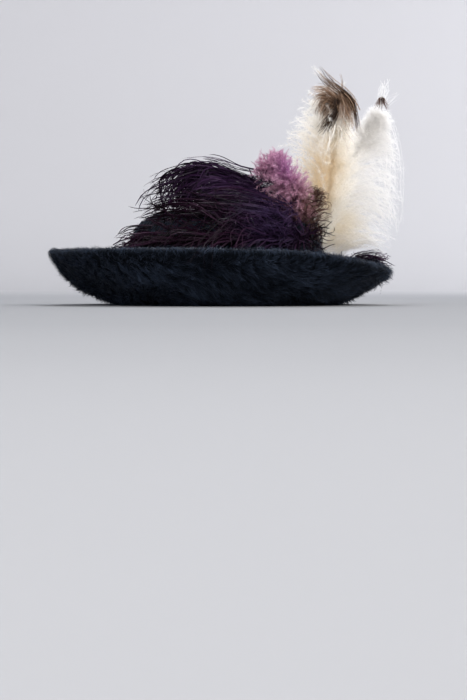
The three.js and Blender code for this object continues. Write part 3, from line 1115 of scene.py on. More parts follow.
@dataclass(frozen=True)
class HeadBand:
    """The grosgrain band inside the opening, a little slack, so that it waves and has one fold round it.

    slack is how far its middle waves in. The fold stands in by fold at fold_rise of its height, over a
    share fold_width of it."""

    form: HatForm
    finish: Grosgrain
    wall: float = 1.2
    low: float = 1.5
    high: float = 30.0
    gap: float = 0.3
    slack: float = 0.35
    fold: float = 0.5
    fold_rise: float = 0.72
    fold_width: float = 0.05
    bearings: int = 180
    steps: int = 11

    def build(self) -> list[bpy.types.Object]:
        """Sweeps the band's thin section round the head oval. Its inner wall comes in by
        slack (1 + sin(5a + 1) sin 2a) sin(pi h) and by a bell-shaped fold, at turn a and height h.

        Returns:
            The band.
        """
        bearing = np.arange(self.bearings)[:, None] * 360 / self.bearings
        rise = np.linspace(0, 1, self.steps)[None, :]
        turn = np.radians(bearing)
        slack = self.slack * (1 + np.sin(5 * turn + 1) * np.sin(2 * turn)) * np.sin(np.pi * rise)
        fold = self.fold * np.exp(-(((rise - self.fold_rise) / self.fold_width) ** 2))
        z = self.low + (self.high - self.low) * rise
        walls = []
        for inset in (self.gap, self.gap + self.wall + slack + fold):
            x = self.form.head_centre[0] + (self.form.head_half[0] - inset) * np.cos(turn)
            y = self.form.head_centre[1] + (self.form.head_half[1] - inset) * np.sin(turn)
            walls.append(np.stack(np.broadcast_arrays(x, y, z), axis=-1))
        band = torus_mesh("head_band_ribbon", np.concatenate([walls[0], walls[1][:, ::-1]], axis=1))
        self.map_round(band)
        return [dress(band, self.finish.material(), "band", "head_band")]

    def map_round(self, band: bpy.types.Object) -> None:
        """Gives the band a map: once round for u, and its height for v.

        Args:
            band: the band's object.
        """
        mesh = band.data
        places = np.empty(len(mesh.vertices) * 3)
        mesh.vertices.foreach_get("co", places)
        places = places.reshape(-1, 3) / MM - np.array([*self.form.head_centre, 0.0])
        corners = np.empty(len(mesh.loops), np.int32)
        mesh.loops.foreach_get("vertex_index", corners)
        u = (np.degrees(np.arctan2(places[:, 1], places[:, 0])) % 360 / 360)[corners].reshape(-1, 4)
        u = u + ((u.max(axis=1, keepdims=True) - u) > 0.5)
        v = (places[:, 2] / self.high)[corners]
        layer = mesh.uv_layers.new(name="band")
        layer.data.foreach_set("uv", np.stack([u.ravel(), v], axis=-1).astype(np.float32).ravel())


# Plumes


@dataclass(frozen=True)
class Flues:
    """How a plume's flues grow.

    Each flue follows the quill for a stretch (stream, as a share of the quill) while it parts from it by
    its reach, within spread degrees of the broad face's plane. In degrees, curl is the turn of its last
    part, droop that part's turn towards the ground, and wave the swing on its way. Barbs are the fine side
    hairs of each flue: they set out at barb_angle, ease back by barb_ease at each station, and are shorter
    by barb_shrink at its tip. flat is how strongly they lie in the broad face's plane, and taper is the share
    of a flue's width lost by its tip. first and until are the shares of the quill between which flues grow,
    and forward is the share of them that curl up towards the broad face, while the rest curl back."""

    count: int
    stations: int = 9
    stream: float = 0.2
    spread: float = 40.0
    curl: float = 90.0
    droop: float = 0.0
    wave: float = 10.0
    length: tuple[float, float] = (0.75, 1.12)
    first: float = 0.02
    until: float = 1.0
    forward: float = 0.75
    half_width: float = 0.25
    barbs: int = 100
    barb_length: float = 4.0
    barb_half: float = 0.1
    barb_stations: int = 3
    barb_angle: float = 55.0
    barb_ease: float = 24.0
    barb_shrink: float = 0.45
    flat: float = 0.0
    taper: float = 0.75


class Growth(Enum):
    """The growths of the trimming's plumes."""

    SPRAY = Flues(
        340, stations=13, stream=0.5, spread=80, curl=40, droop=80, wave=26, length=(0.1, 1.25), until=0.62,
        half_width=0.85, barbs=40, barb_length=2.4, barb_half=0.2, barb_stations=2, barb_angle=27, taper=0.4,
    )
    WRAP = Flues(
        560, stations=11, stream=0.2, spread=185, curl=100, droop=60, wave=36, length=(0.25, 1.2),
        half_width=0.8, barbs=38, barb_length=2.6, barb_half=0.2, barb_stations=2, barb_angle=32, taper=0.5,
    )
    CURLED = Flues(
        900, stations=8, stream=0.12, spread=180, curl=80, wave=16, length=(0.3, 1.06), until=0.94,
        half_width=0.2, barbs=96, barb_length=6.4, barb_half=0.12, barb_stations=2, barb_angle=36,
    )
    FRIZZ = Flues(
        170, stations=10, stream=0.25, spread=170, curl=170, droop=30, wave=44, length=(0.4, 1.3),
        half_width=0.5, barbs=42, barb_length=2.6, barb_half=0.17, barb_stations=3, barb_angle=44,
    )
    LEAFY = Flues(
        190, stations=8, stream=0.3, spread=150, curl=70, droop=30, wave=18, length=(0.35, 1.1),
        half_width=0.8, barbs=60, barb_length=3.4, barb_half=0.26, barb_stations=2, barb_angle=30,
    )
    SOFT = Flues(
        1000, stations=9, stream=0.24, spread=170, curl=50, wave=14, length=(0.25, 1.12), until=0.92,
        half_width=0.16, barbs=92, barb_length=9.5, barb_half=0.12, barb_stations=2, barb_angle=46, flat=1.2,
    )
    VEIL = Flues(
        660, stations=10, stream=0.26, spread=60, curl=14, droop=14, wave=5, length=(0.08, 1.1), until=0.86,
        half_width=0.12, barbs=88, barb_length=12.0, barb_half=0.1, barb_stations=2, barb_angle=26, flat=1.4,
    )


@dataclass(frozen=True)
class Wisp:
    """Loose flues that keep together: a path, how many, how far apart at root and tip, how stained, their
    mean tone, half a flue's width, the barbs on each, those barbs' length beside the plume's own, and how far
    they swing, in degrees."""

    path: tuple[tuple[float, float, float], ...]
    strands: int = 4
    fan: tuple[float, float] = (1.0, 4.0)
    stain: float = 0.0
    tone: float = 0.55
    half_width: float = 0.4
    barbs: int = 60
    barb_share: float = 1.0
    swing: float = 12.0


def bundle(look: Wisp, *rows: tuple) -> tuple[Wisp, ...]:
    """Makes wisps of one look.

    Args:
        look: the wisp whose stain, tone, width, barbs and swing they all have.
        rows: for each wisp its strands, its fan at root and tip, and the points of its path.

    Returns:
        The wisps.
    """
    return tuple(replace(look, strands=row[0], fan=row[1:3], path=row[3:]) for row in rows)


@dataclass(frozen=True)
class Tangle:
    """Short flues that curl and cross one another, by up to about curl degrees.

    They start anywhere within half of middle and set out in the lean's direction, give or take."""

    middle: tuple[float, float, float]
    half: tuple[float, float, float]
    lean: tuple[float, float, float]
    strands: int = 60
    length: tuple[float, float] = (14.0, 30.0)
    curl: float = 200.0
    tone: float = 0.7
    stain: float = 0.0
    half_width: float = 0.6
    barbs: int = 26
    barb_share: float = 1.0

    def lines(self, stations: int, rng: np.random.Generator) -> np.ndarray:
        """Lines that start straight: each one's direction turns by its own share of curl * u^1.5.

        Args:
            stations: points on each flue.
            rng: the plume's random numbers.

        Returns:
            Lines (strands, stations, 3).
        """
        root = np.array(self.middle) + rng.uniform(-1, 1, (self.strands, 3)) * np.array(self.half)
        way = unit(unit(np.array(self.lean)) + rng.normal(0, 0.6, (self.strands, 3)))
        axis = unit(rng.normal(0, 0.5, (self.strands, 3)) + np.array([0.0, 1.0, 0.0]))
        size = rng.uniform(*self.length, self.strands) / (stations - 1)
        swing = rng.normal(0, 0.5, self.strands) * self.curl
        angle = swing[:, None] * np.linspace(0, 1, stations - 1)[None, :] ** 1.5
        steps = np.broadcast_to((way * size[:, None])[:, None], (self.strands, stations - 1, 3))
        steps = turned(steps, axis[:, None], angle)
        return np.concatenate([root[:, None], root[:, None] + np.cumsum(steps, axis=1)], axis=1)


@dataclass(frozen=True)
class Patch:
    """A round patch of colour: its middle, how far it reaches, and its strength."""

    middle: tuple[float, float, float]
    reach: float
    strength: float = 1.0

    def share(self, points: np.ndarray) -> np.ndarray:
        """The patch's share at points: strength * exp(-(distance / reach)^2)."""
        away = np.linalg.norm(points - np.array(self.middle), axis=-1)
        return self.strength * np.exp(-((away / self.reach) ** 2))


@dataclass(frozen=True)
class Plume:
    """An ostrich plume: a quill with flues to both sides, loose wisps, and fine barbs on them all.

    Each quill row is x, y, z, the reach of the flues to the right and left, seen along the quill to its
    tip with the broad face up, and the fall of their tips. facing is the broad face's direction, or None
    for straight out from the crown. contrast is the spread of the flues' tones."""

    name: str
    slot: str
    seed: int
    growth: Growth
    finish: Feather
    quill_finish: QuillHorn
    facing: tuple[float, float, float] | None
    quill: tuple[tuple[float, ...], ...]
    wisps: tuple[Wisp, ...] = ()
    tangles: tuple[Tangle, ...] = ()
    stains: tuple[Patch, ...] = ()
    tint_and_painted_shade_patches: tuple[Patch, ...] = ()
    centre: tuple[float, float] = HatForm.head_centre
    quill_radius: float = 1.1
    quill_taper: float = 0.67
    quill_end: float = 0.97
    quill_rings: int = 28
    quill_sides: int = 8
    contrast: float = 0.2

    def quill_line(self, share: np.ndarray) -> np.ndarray:
        """The quill's table at shares of its length, carried straight on past its end by its last half row.

        Args:
            share: shares of its length, which may pass 1.

        Returns:
            The table's columns there, share.shape + (columns,).
        """
        rows = np.array(self.quill, float)
        last = len(rows) - 1
        line = through(rows, share * last)
        onward = rows[-1] - through(rows, np.array(last - 0.5))
        onward[3:] = 0
        return line + onward * np.maximum(share * last - last, 0)[..., None] * 2

    def facing_at(self, points: np.ndarray) -> np.ndarray:
        """Gives the broad face's direction: facing, or level and out from the crown's centre.

        Args:
            points: places on the plume, (..., 3).

        Returns:
            Unit vectors of the same shape.
        """
        if self.facing is not None:
            return np.broadcast_to(unit(np.array(self.facing)), points.shape)
        return unit((points - np.array([*self.centre, 0.0])) * np.array([1.0, 1.0, 0.0]))

    def frame_along(self, share: np.ndarray) -> tuple[np.ndarray, np.ndarray, np.ndarray]:
        """Carries the plume's own directions along the quill: side = along x facing.

        Args:
            share: shares of its length.

        Returns:
            The quill's rows, the side direction and the broad face's direction there.
        """
        row = self.quill_line(share)
        along = self.quill_line(share + 0.02)[..., :3] - self.quill_line(np.maximum(share - 0.02, 0))[..., :3]
        facing = self.facing_at(row[..., :3])
        return row, unit(np.cross(unit(along), facing)), facing

    def shaft(self) -> bpy.types.Object:
        """The quill: rings of points along its line, each spoke side cos a + facing sin a, tapering.

        Returns:
            The quill.
        """
        share = np.linspace(0, self.quill_end, self.quill_rings)
        row, side, facing = self.frame_along(share)
        turn = np.arange(self.quill_sides)[None, :, None] * math.tau / self.quill_sides
        radius = (self.quill_radius * (1 - self.quill_taper * share))[:, None, None]
        spokes = side[:, None] * np.cos(turn) + facing[:, None] * np.sin(turn)
        return capped_mesh(f"{self.name}_quill", row[:, None, :3] + radius * spokes)

    def flue_lines(self, rng: np.random.Generator) -> tuple[np.ndarray, np.ndarray]:
        """Each flue: it streams along the quill and parts from it by reach * u^0.85, then falls as u^2;
        its steps are then turned by a wave and, towards the tip, by a curl.

        Args:
            rng: the plume's random numbers.

        Returns:
            Lines (n, k, 3) and the broad face's direction at each root (n, 3).
        """
        flues: Flues = self.growth.value
        count = flues.count
        spaced = (np.arange(count) + rng.uniform(0, 1, count)) / count
        start = flues.first + (flues.until - flues.first) * spaced
        stream = flues.stream * rng.uniform(0.6, 1.25, count)
        u = np.linspace(0, 1, flues.stations)[None, :]
        row, side, facing = self.frame_along(start[:, None] + stream[:, None] * u * (1.15 - 0.15 * u))
        hand = np.where(np.arange(count) % 2 == 0, 1.0, -1.0)
        fan = np.radians(rng.uniform(-0.5, 0.5, count) * flues.spread)[:, None, None]
        out = side * hand[:, None, None] * np.cos(fan) + facing * np.sin(fan)
        reach = np.where(hand[:, None] > 0, row[..., 3], row[..., 4])
        reach = reach[:, :1] * 0.5 + reach * 0.5
        reach = reach * rng.uniform(*flues.length, count)[:, None]
        fall = (row[:, 0, 5] * rng.uniform(0.3, 1.7, count))[:, None] * u**2
        lines = row[..., :3] + out * (reach * u**0.85)[..., None] + DOWN * fall[..., None]
        return self.curled(lines, facing[:, 0], flues, rng), facing[:, 0]

    def curled(
        self, lines: np.ndarray, facing: np.ndarray, flues: Flues, rng: np.random.Generator
    ) -> np.ndarray:
        """Turns the steps of each line about its own axis and towards the ground and adds them up again.

        Args:
            lines: the lines, (n, k, 3).
            facing: the broad face's direction, (n, 3).
            flues: how they grow.
            rng: the plume's random numbers.

        Returns:
            The lines, curled at the tips.
        """
        steps = np.diff(lines, axis=1)
        count, stations = steps.shape[:2]
        u = np.linspace(0, 1, stations)[None, :]
        axis = unit(np.cross(unit(steps[:, -1]), facing) + facing * rng.normal(0, 0.6, count)[:, None])
        sign = np.where(rng.uniform(0, 1, count) < flues.forward, 1.0, -1.0)
        curl = (flues.curl * sign * rng.uniform(0.2, 1.3, count))[:, None] * smooth_step(u, 0.45, 1.05) ** 1.5
        phase = rng.uniform(0, math.tau, count)[:, None]
        beat = rng.uniform(0.6, 1.6, count)[:, None]
        wave = flues.wave * np.sin(phase + math.tau * beat * u) * u
        droop = (flues.droop * rng.uniform(0.1, 1.5, count))[:, None] * smooth_step(u, 0.3, 1.05) ** 1.3
        steps = turned(steps, axis[:, None], curl)
        steps = turned(steps, facing[:, None], wave)
        steps = turned(steps, unit(np.cross(steps, DOWN)), droop)
        return np.concatenate([lines[:, :1], lines[:, :1] + np.cumsum(steps, axis=1)], axis=1)

    def wisp_lines(self, wisp: Wisp, stations: int, rng: np.random.Generator) -> np.ndarray:
        """Strands beside a wisp's path, parting evenly from root fan to tip fan and bowed by sin(pi u), some
        shorter than others.

        Args:
            wisp: the wisp.
            stations: points on each strand.
            rng: the plume's random numbers.

        Returns:
            Lines (strands, stations, 3).
        """
        path = np.array(wisp.path, float)
        u = np.linspace(0, 1, stations)[None, :]
        reach = rng.uniform(0.7, 1.0, wisp.strands)[:, None]
        reach[0] = 1
        middle = through(path, u * reach * (len(path) - 1))
        apart = rng.normal(0, 0.5, (wisp.strands, 1, 3))
        bow = rng.normal(0, 0.5, (wisp.strands, 1, 3))
        width = (wisp.fan[0] + (wisp.fan[1] - wisp.fan[0]) * u)[..., None]
        return middle + apart * width + bow * wisp.fan[1] * np.sin(np.pi * u)[..., None] * 0.5

    def barb_lines(
        self, lines: np.ndarray, each: int, length: float, rng: np.random.Generator
    ) -> tuple[np.ndarray, np.ndarray, np.ndarray]:
        """Fine barbs: from places along each line, leaning off it by barb_angle in any direction round it
        and easing back along it towards their tips.

        Args:
            lines: the flues, (n, k, 3).
            each: barbs on each flue.
            length: the barbs' full length.
            rng: the plume's random numbers.

        Returns:
            Barb lines (n * each, stations, 3), the flue that each grows on, and its share along it.
        """
        flues: Flues = self.growth.value
        count, stations = lines.shape[:2]
        owner = np.repeat(np.arange(count), each)
        share = np.tile((np.arange(each) + 0.5) / each, count) + rng.uniform(-0.4, 0.4, count * each) / each
        share = 0.04 + 0.95 * np.clip(share, 0, 1)
        place = share * (stations - 1)
        low = np.minimum(place.astype(int), stations - 2)
        part = (place - low)[:, None]
        start, end = lines[owner, low], lines[owner, low + 1]
        root = start * (1 - part) + end * part
        tangent = unit(end - start)
        side = unit(np.cross(tangent, unit(rng.normal(0, 1, (len(owner), 3)))))
        size = length * rng.uniform(0.45, 1.15, len(owner)) * (1 - flues.barb_shrink * share)
        angle = np.radians(flues.barb_angle + rng.normal(0, 10, len(owner)))
        points = [root]
        for _ in range(flues.barb_stations - 1):
            step = tangent * np.cos(angle)[:, None] + side * np.sin(angle)[:, None]
            points.append(points[-1] + step * (size / (flues.barb_stations - 1))[:, None])
            angle = angle - np.radians(flues.barb_ease)
        return np.stack(points, axis=1), owner, share

    def shares(self, patches: tuple[Patch, ...], points: np.ndarray) -> np.ndarray:
        """Adds up the patches' shares.

        Args:
            patches: the patches.
            points: where, (..., 3).

        Returns:
            The sums, at most 1.
        """
        total = np.zeros(points.shape[:-1])
        for patch in patches:
            total = total + patch.share(points)
        return np.clip(total, 0, 1)

    def add_lines(
        self,
        fibres: Fibres,
        lines: np.ndarray,
        facing: np.ndarray,
        look: Wisp | Tangle,
        rng: np.random.Generator,
    ) -> None:
        """Adds flues and their barbs to the plume's fibres.

        Args:
            fibres: the plume's fibres.
            lines: the flues, (n, k, 3).
            facing: the broad face's direction, (n, 3).
            look: the wisp or tangle that holds their width, barbs, stain and tone.
            rng: the plume's random numbers.
        """
        flues: Flues = self.growth.value
        count = len(lines)
        tone = np.clip(rng.normal(look.tone, max(self.contrast, 0.3 * look.stain), count), 0, 1)
        fibres.add(
            lines,
            facing,
            look.half_width * rng.uniform(0.7, 1.2, count),
            tone * 0.9,
            rng.uniform(-70, 70, count),
            flues.taper,
            stain=np.clip(self.shares(self.stains, lines) + look.stain, 0, 1),
            tint_and_painted_light=self.shares(self.tint_and_painted_shade_patches, lines),
        )
        fine, owner, share = self.barb_lines(lines, look.barbs, flues.barb_length * look.barb_share, rng)
        fibres.add(
            fine,
            unit(rng.normal(0, 1, (len(owner), 3)) + flues.flat * self.facing_at(fine[:, 0])),
            flues.barb_half * rng.uniform(0.7, 1.2, len(owner)),
            np.clip(tone[owner] + rng.normal(0, 0.15, len(owner)) + 0.15 * share, 0, 1),
            np.zeros(len(owner)),
            stain=np.clip(self.shares(self.stains, fine) + look.stain, 0, 1),
            tint_and_painted_light=self.shares(self.tint_and_painted_shade_patches, fine),
        )

    def build(self) -> list[bpy.types.Object]:
        """Makes and dresses the plume's pieces: its flues first, then wisp by wisp and tangle by tangle.

        Returns:
            The flues' mesh and the quill.
        """
        rng = np.random.default_rng(SEED + 10 + self.seed)
        flues: Flues = self.growth.value
        fibres = Fibres()
        lines, facing = self.flue_lines(rng)
        self.add_lines(fibres, lines, facing, Wisp((), half_width=flues.half_width, barbs=flues.barbs), rng)
        for wisp in self.wisps:
            lines = self.wisp_lines(wisp, flues.stations, rng)
            facing = unit(rng.normal(0, 1, (len(lines), 3)))
            lines = self.curled(lines, facing, replace(flues, curl=0, droop=0, wave=wisp.swing), rng)
            self.add_lines(fibres, lines, facing, wisp, rng)
        for tangle in self.tangles:
            lines = tangle.lines(flues.stations, rng)
            facing = unit(rng.normal(0, 1, (len(lines), 3)))
            self.add_lines(fibres, lines, facing, tangle, rng)
        return [
            dress(fibres.mesh(f"{self.name}_flues"), self.finish.material(), self.slot, self.name),
            dress(self.shaft(), self.quill_finish.material(), self.slot),
        ]


def around_crown(form: HatForm, bearing: float, away: float, z: float) -> tuple[float, float, float]:
    """Finds a place beside the crown: the head oval, wider by the wall and away.

    Args:
        form: the hat's surfaces.
        bearing: degrees about the opening.
        away: distance out from the crown's wall.
        z: height.

    Returns:
        The point.
    """
    half = (form.head_half[0] + form.crown_wall + away, form.head_half[1] + form.crown_wall + away)
    plan = form.ellipse(form.head_centre, half, np.array(bearing))
    return float(plan[0]), float(plan[1]), z


def wrap_plume(form: HatForm) -> Plume:
    """The wine-black plume that lies round the crown's front, its quill following the crown's wall.

    Args:
        form: the hat's surfaces.

    Returns:
        The plume.
    """
    rows = (
        (328, -4, 64, 18, 12, 2),
        (310, 5, 68, 34, 26, 3),
        (290, 6, 70, 42, 32, 4),
        (268, 6, 70, 46, 34, 5),
        (246, 6, 68, 42, 34, 6),
        (224, 6, 64, 34, 30, 6),
        (206, 5, 58, 22, 20, 4),
    )
    return Plume(
        "plume_aubergine_wrap", "aubergine_deep", 0, Growth.WRAP,
        Feather(
            "wine_black_ostrich", "020102", "2d1428", "020102", "24111f", "392a4b",
            passing=0.12, sheen=0.03, gloss=0.1,
        ),
        QuillHorn("dyed_quill_wrap", "08060a", "120c14"),
        None,
        tuple((*around_crown(form, bearing, away, z), *reach) for bearing, away, z, *reach in rows),
        wisps=(
            *bundle(
                Wisp((), half_width=0.7, barbs=36),
                (26, 10, 5, (41, -112, 78), (13, -104, 86), (-24, -92, 94), (-54, -76, 97), (-74, -58, 95),
                    (-88, -44, 90)),
                (26, 10, 6, (41, -108, 92), (10, -102, 98), (-19, -92, 104), (-46, -80, 106), (-67, -66, 102),
                    (-82, -52, 94)),
            ),
            *bundle(
                Wisp((), tone=0.15, half_width=0.35, barb_share=0.6, swing=30),
                (5, 6, 5, (20, -114, 92), (4, -132, 84), (-8, -156, 72), (-20, -177, 60), (-30, -187, 50),
                    (-37, -188, 41)),
                (3, 5, 5, (14, -118, 88), (0, -138, 78), (-7, -162, 67), (-11, -184, 56), (-13, -189, 46),
                    (-14, -188, 34)),
            ),
            Wisp(((-70, -92, 76), (-92, -60, 74), (-104, -34, 72), (-110, -12, 70)), 16, (10, 8),
                 half_width=0.7),
            Wisp(((60, -90, 98), (30, -104, 106), (-6, -104, 110), (-40, -90, 108)), 26, (9, 10), tone=0.4,
                 half_width=0.7, barbs=36, swing=30),
        ),
        tangles=(
            Tangle((40, -106, 88), (34, 10, 14), (-1, -0.2, -0.1), 150, tone=0.7),
            Tangle((76, -82, 74), (16, 12, 12), (-0.6, -0.6, -0.2), 90, tone=0.55),
            Tangle((92, -60, 70), (10, 14, 14), (0.1, -0.9, -0.2), 90, tone=0.35),
            Tangle((-20, -110, 84), (36, 8, 16), (-1, 0, -0.5), 70, (20, 40), 130, tone=0.4),
            Tangle((-26, -62, 101), (40, 18, 5), (-1, 0, -0.1), 110, (20, 36), 90, tone=0.25),
        ),
        tint_and_painted_shade_patches=(Patch((50, -106, 86), 34, 0.75),),
        contrast=0.4,
    )


def spray_plume() -> Plume:
    """The aubergine plume whose long loose flues stream to the left over the crown.

    Returns:
        The plume.
    """
    return Plume(
        "plume_aubergine_spray", "aubergine", 1, Growth.SPRAY,
        Feather(
            "aubergine_ostrich", "020103", "311b38", "020103", "281630", "3f2c4e",
            passing=0.12, sheen=0.03, gloss=0.1,
        ),
        QuillHorn("dyed_quill_spray", "08060a", "120c14"),
        (0, -1, 0.25),
        (
            (76, -52, 84, 8, 6, 1),
            (48, -58, 107, 16, 18, 6),
            (18, -62, 126, 17, 28, 12),
            (-12, -64, 137, 18, 34, 15),
            (-38, -66, 137, 18, 20, 12),
            (-62, -68, 128, 14, 12, 10),
        ),
        wisps=(
            Wisp(((64, -60, 120), (41, -62, 136), (18, -64, 142), (-1, -65, 149), (-19, -66, 152),
                  (-43, -68, 150)),
                 9, (2, 5), half_width=0.6, barbs=36, barb_share=0.7),
            Wisp(((14, -66, 140), (3, -67, 147), (-10, -68, 151), (-17, -69, 145)), 2, (1, 2),
                 half_width=0.6, barbs=36, barb_share=0.5),
            *bundle(
                Wisp((), half_width=0.65, barbs=36, barb_share=0.6),
                (8, 4, 9, (41, -60, 126), (10, -64, 138), (-19, -66, 144), (-42, -70, 143), (-64, -72, 137),
                    (-74, -72, 128)),
                (7, 5, 9, (34, -60, 119), (-1, -64, 132), (-30, -68, 137), (-54, -72, 134), (-74, -76, 127),
                    (-82, -76, 116)),
                (7, 6, 9, (29, -60, 115), (-8, -66, 125), (-37, -70, 130), (-58, -74, 127), (-77, -78, 118),
                    (-86, -78, 105)),
            ),
            Wisp(((29, -62, 108), (-8, -68, 117), (-40, -74, 121), (-67, -78, 117), (-82, -80, 109),
                  (-89, -80, 94)),
                 6, (6, 5), half_width=0.7, barbs=36, barb_share=0.6),
            Wisp(((23, -66, 103), (-14, -72, 109), (-40, -76, 113), (-64, -78, 108), (-77, -78, 101)),
                 10, (6, 5), half_width=0.7, barbs=36),
            *bundle(
                Wisp((), half_width=0.5, barbs=36),
                (8, 6, 10, (-33, -66, 138), (-39, -68, 124), (-46, -70, 110), (-56, -72, 101)),
                (8, 6, 10, (-17, -66, 140), (-26, -68, 124), (-37, -70, 108), (-49, -72, 97)),
            ),
            Wisp(((37, -66, 135), (36, -68, 141), (33, -70, 146), (29, -70, 149)), 1, (0.1, 0.1),
                 half_width=0.6, barbs=20, barb_share=0.5),
            Wisp(((66, -58, 98), (38, -62, 111), (12, -66, 117), (-14, -70, 116), (-38, -74, 108)),
                 44, (10, 11), tone=0.4, half_width=0.75, barbs=36, swing=26),
            Wisp(((64, -56, 92), (34, -60, 102), (6, -64, 106), (-20, -70, 104), (-44, -76, 96)),
                 44, (10, 10), tone=0.35, half_width=0.75, barbs=36, swing=26),
            Wisp(((58, -50, 92), (32, -48, 104), (8, -48, 109), (-16, -54, 106), (-36, -60, 98)),
                 36, (10, 10), tone=0.3, half_width=0.75, barbs=36, swing=26),
            Wisp(((46, -40, 96), (26, -38, 105), (6, -38, 108), (-14, -42, 106), (-32, -46, 100)),
                 36, (10, 10), tone=0.2, half_width=0.75, barbs=36, swing=26),
            Wisp(((54, -84, 92), (34, -90, 102), (12, -92, 108), (-12, -92, 106), (-34, -88, 98)),
                 26, (10, 14), half_width=0.7, barbs=36, swing=34),
            Wisp(((14, -60, 121), (-8, -62, 121), (-26, -64, 117), (-42, -66, 109)), 30, (6, 6), tone=0.25,
                 half_width=0.7, barbs=36),
        ),
        tangles=(
            Tangle((58, -78, 96), (22, 10, 12), (-1, -0.3, 0.1), 110, tone=0.75),
            Tangle((20, -76, 112), (26, 8, 10), (-1, -0.1, -0.3), 70, (18, 36), 120, tone=0.5),
            Tangle((45, -72, 121), (13, 6, 8), (-1, -0.1, 0.1), 100, (14, 30), 120, tone=0.45),
        ),
        tint_and_painted_shade_patches=(Patch((48, -78, 98), 28, 0.7), Patch((-2, -70, 124), 22, 0.25)),
        contrast=0.4,
    )


def mauve_plume() -> Plume:
    """The short mauve tip, fluffy and curled, that stands at the spray's root.

    Returns:
        The plume.
    """
    return Plume(
        "plume_mauve", "mauve", 2, Growth.CURLED,
        Feather("mauve_ostrich", "8a586f", "ecc0d8", "5a3a3c", "b88680", "c68cc0", passing=0.45),
        QuillHorn("dyed_quill_mauve", "5a3a4c", "8a6078"),
        (0, -1, 0),
        (
            (80, -62, 84, 16, 14, 2),
            (75, -68, 108, 26, 28, 4),
            (65, -74, 128, 26, 34, 4),
            (49, -79, 149, 15, 25, 2),
        ),
        tangles=(
            Tangle(
                (47, -83, 140), (9, 8, 8), (-0.4, -0.8, 0.4), 150, (6, 13), 90,
                tone=0.42, half_width=0.14, barbs=64, barb_share=0.8,
            ),
            Tangle(
                (54, -80, 146), (9, 8, 6), (0.1, -0.2, 1), 120, (7, 13), 80,
                tone=0.4, half_width=0.14, barbs=64, barb_share=0.8,
            ),
        ),
        tint_and_painted_shade_patches=(Patch((64, -84, 140), 15, 0.9),),
        stains=(Patch((90, -74, 102), 20, 0.85), Patch((48, -84, 120), 10, 0.4)),
        contrast=0.15,
    )


def brown_plume() -> Plume:
    """The small frizzy brown wisps between the mauve and the cream.

    Returns:
        The plume.
    """
    return Plume(
        "plume_brown", "brown", 3, Growth.FRIZZ,
        Feather(
            "undyed_brown_ostrich", "35272a", "86685c", "1e1416", "523c3a", "8a6070",
            passing=0.28, sheen=0.08, gloss=0.2,
        ),
        QuillHorn("plain_quill_brown", "4a3528", "8b6d55"),
        (0, -1, 0),
        (
            (87, -36, 70, 12, 10, 0),
            (94, -44, 98, 18, 16, 2),
            (98, -46, 118, 12, 12, 3),
        ),
        tangles=(
            Tangle((90, -64, 98), (9, 10, 16), (-0.2, -0.5, 0.4), 90, (12, 24), tone=0.5),
            Tangle((94, -60, 78), (8, 10, 10), (0.2, -0.6, -0.3), 50, (10, 22), tone=0.3),
        ),
        stains=(Patch((92, -48, 96), 14, 0.7),),
        contrast=0.3,
    )


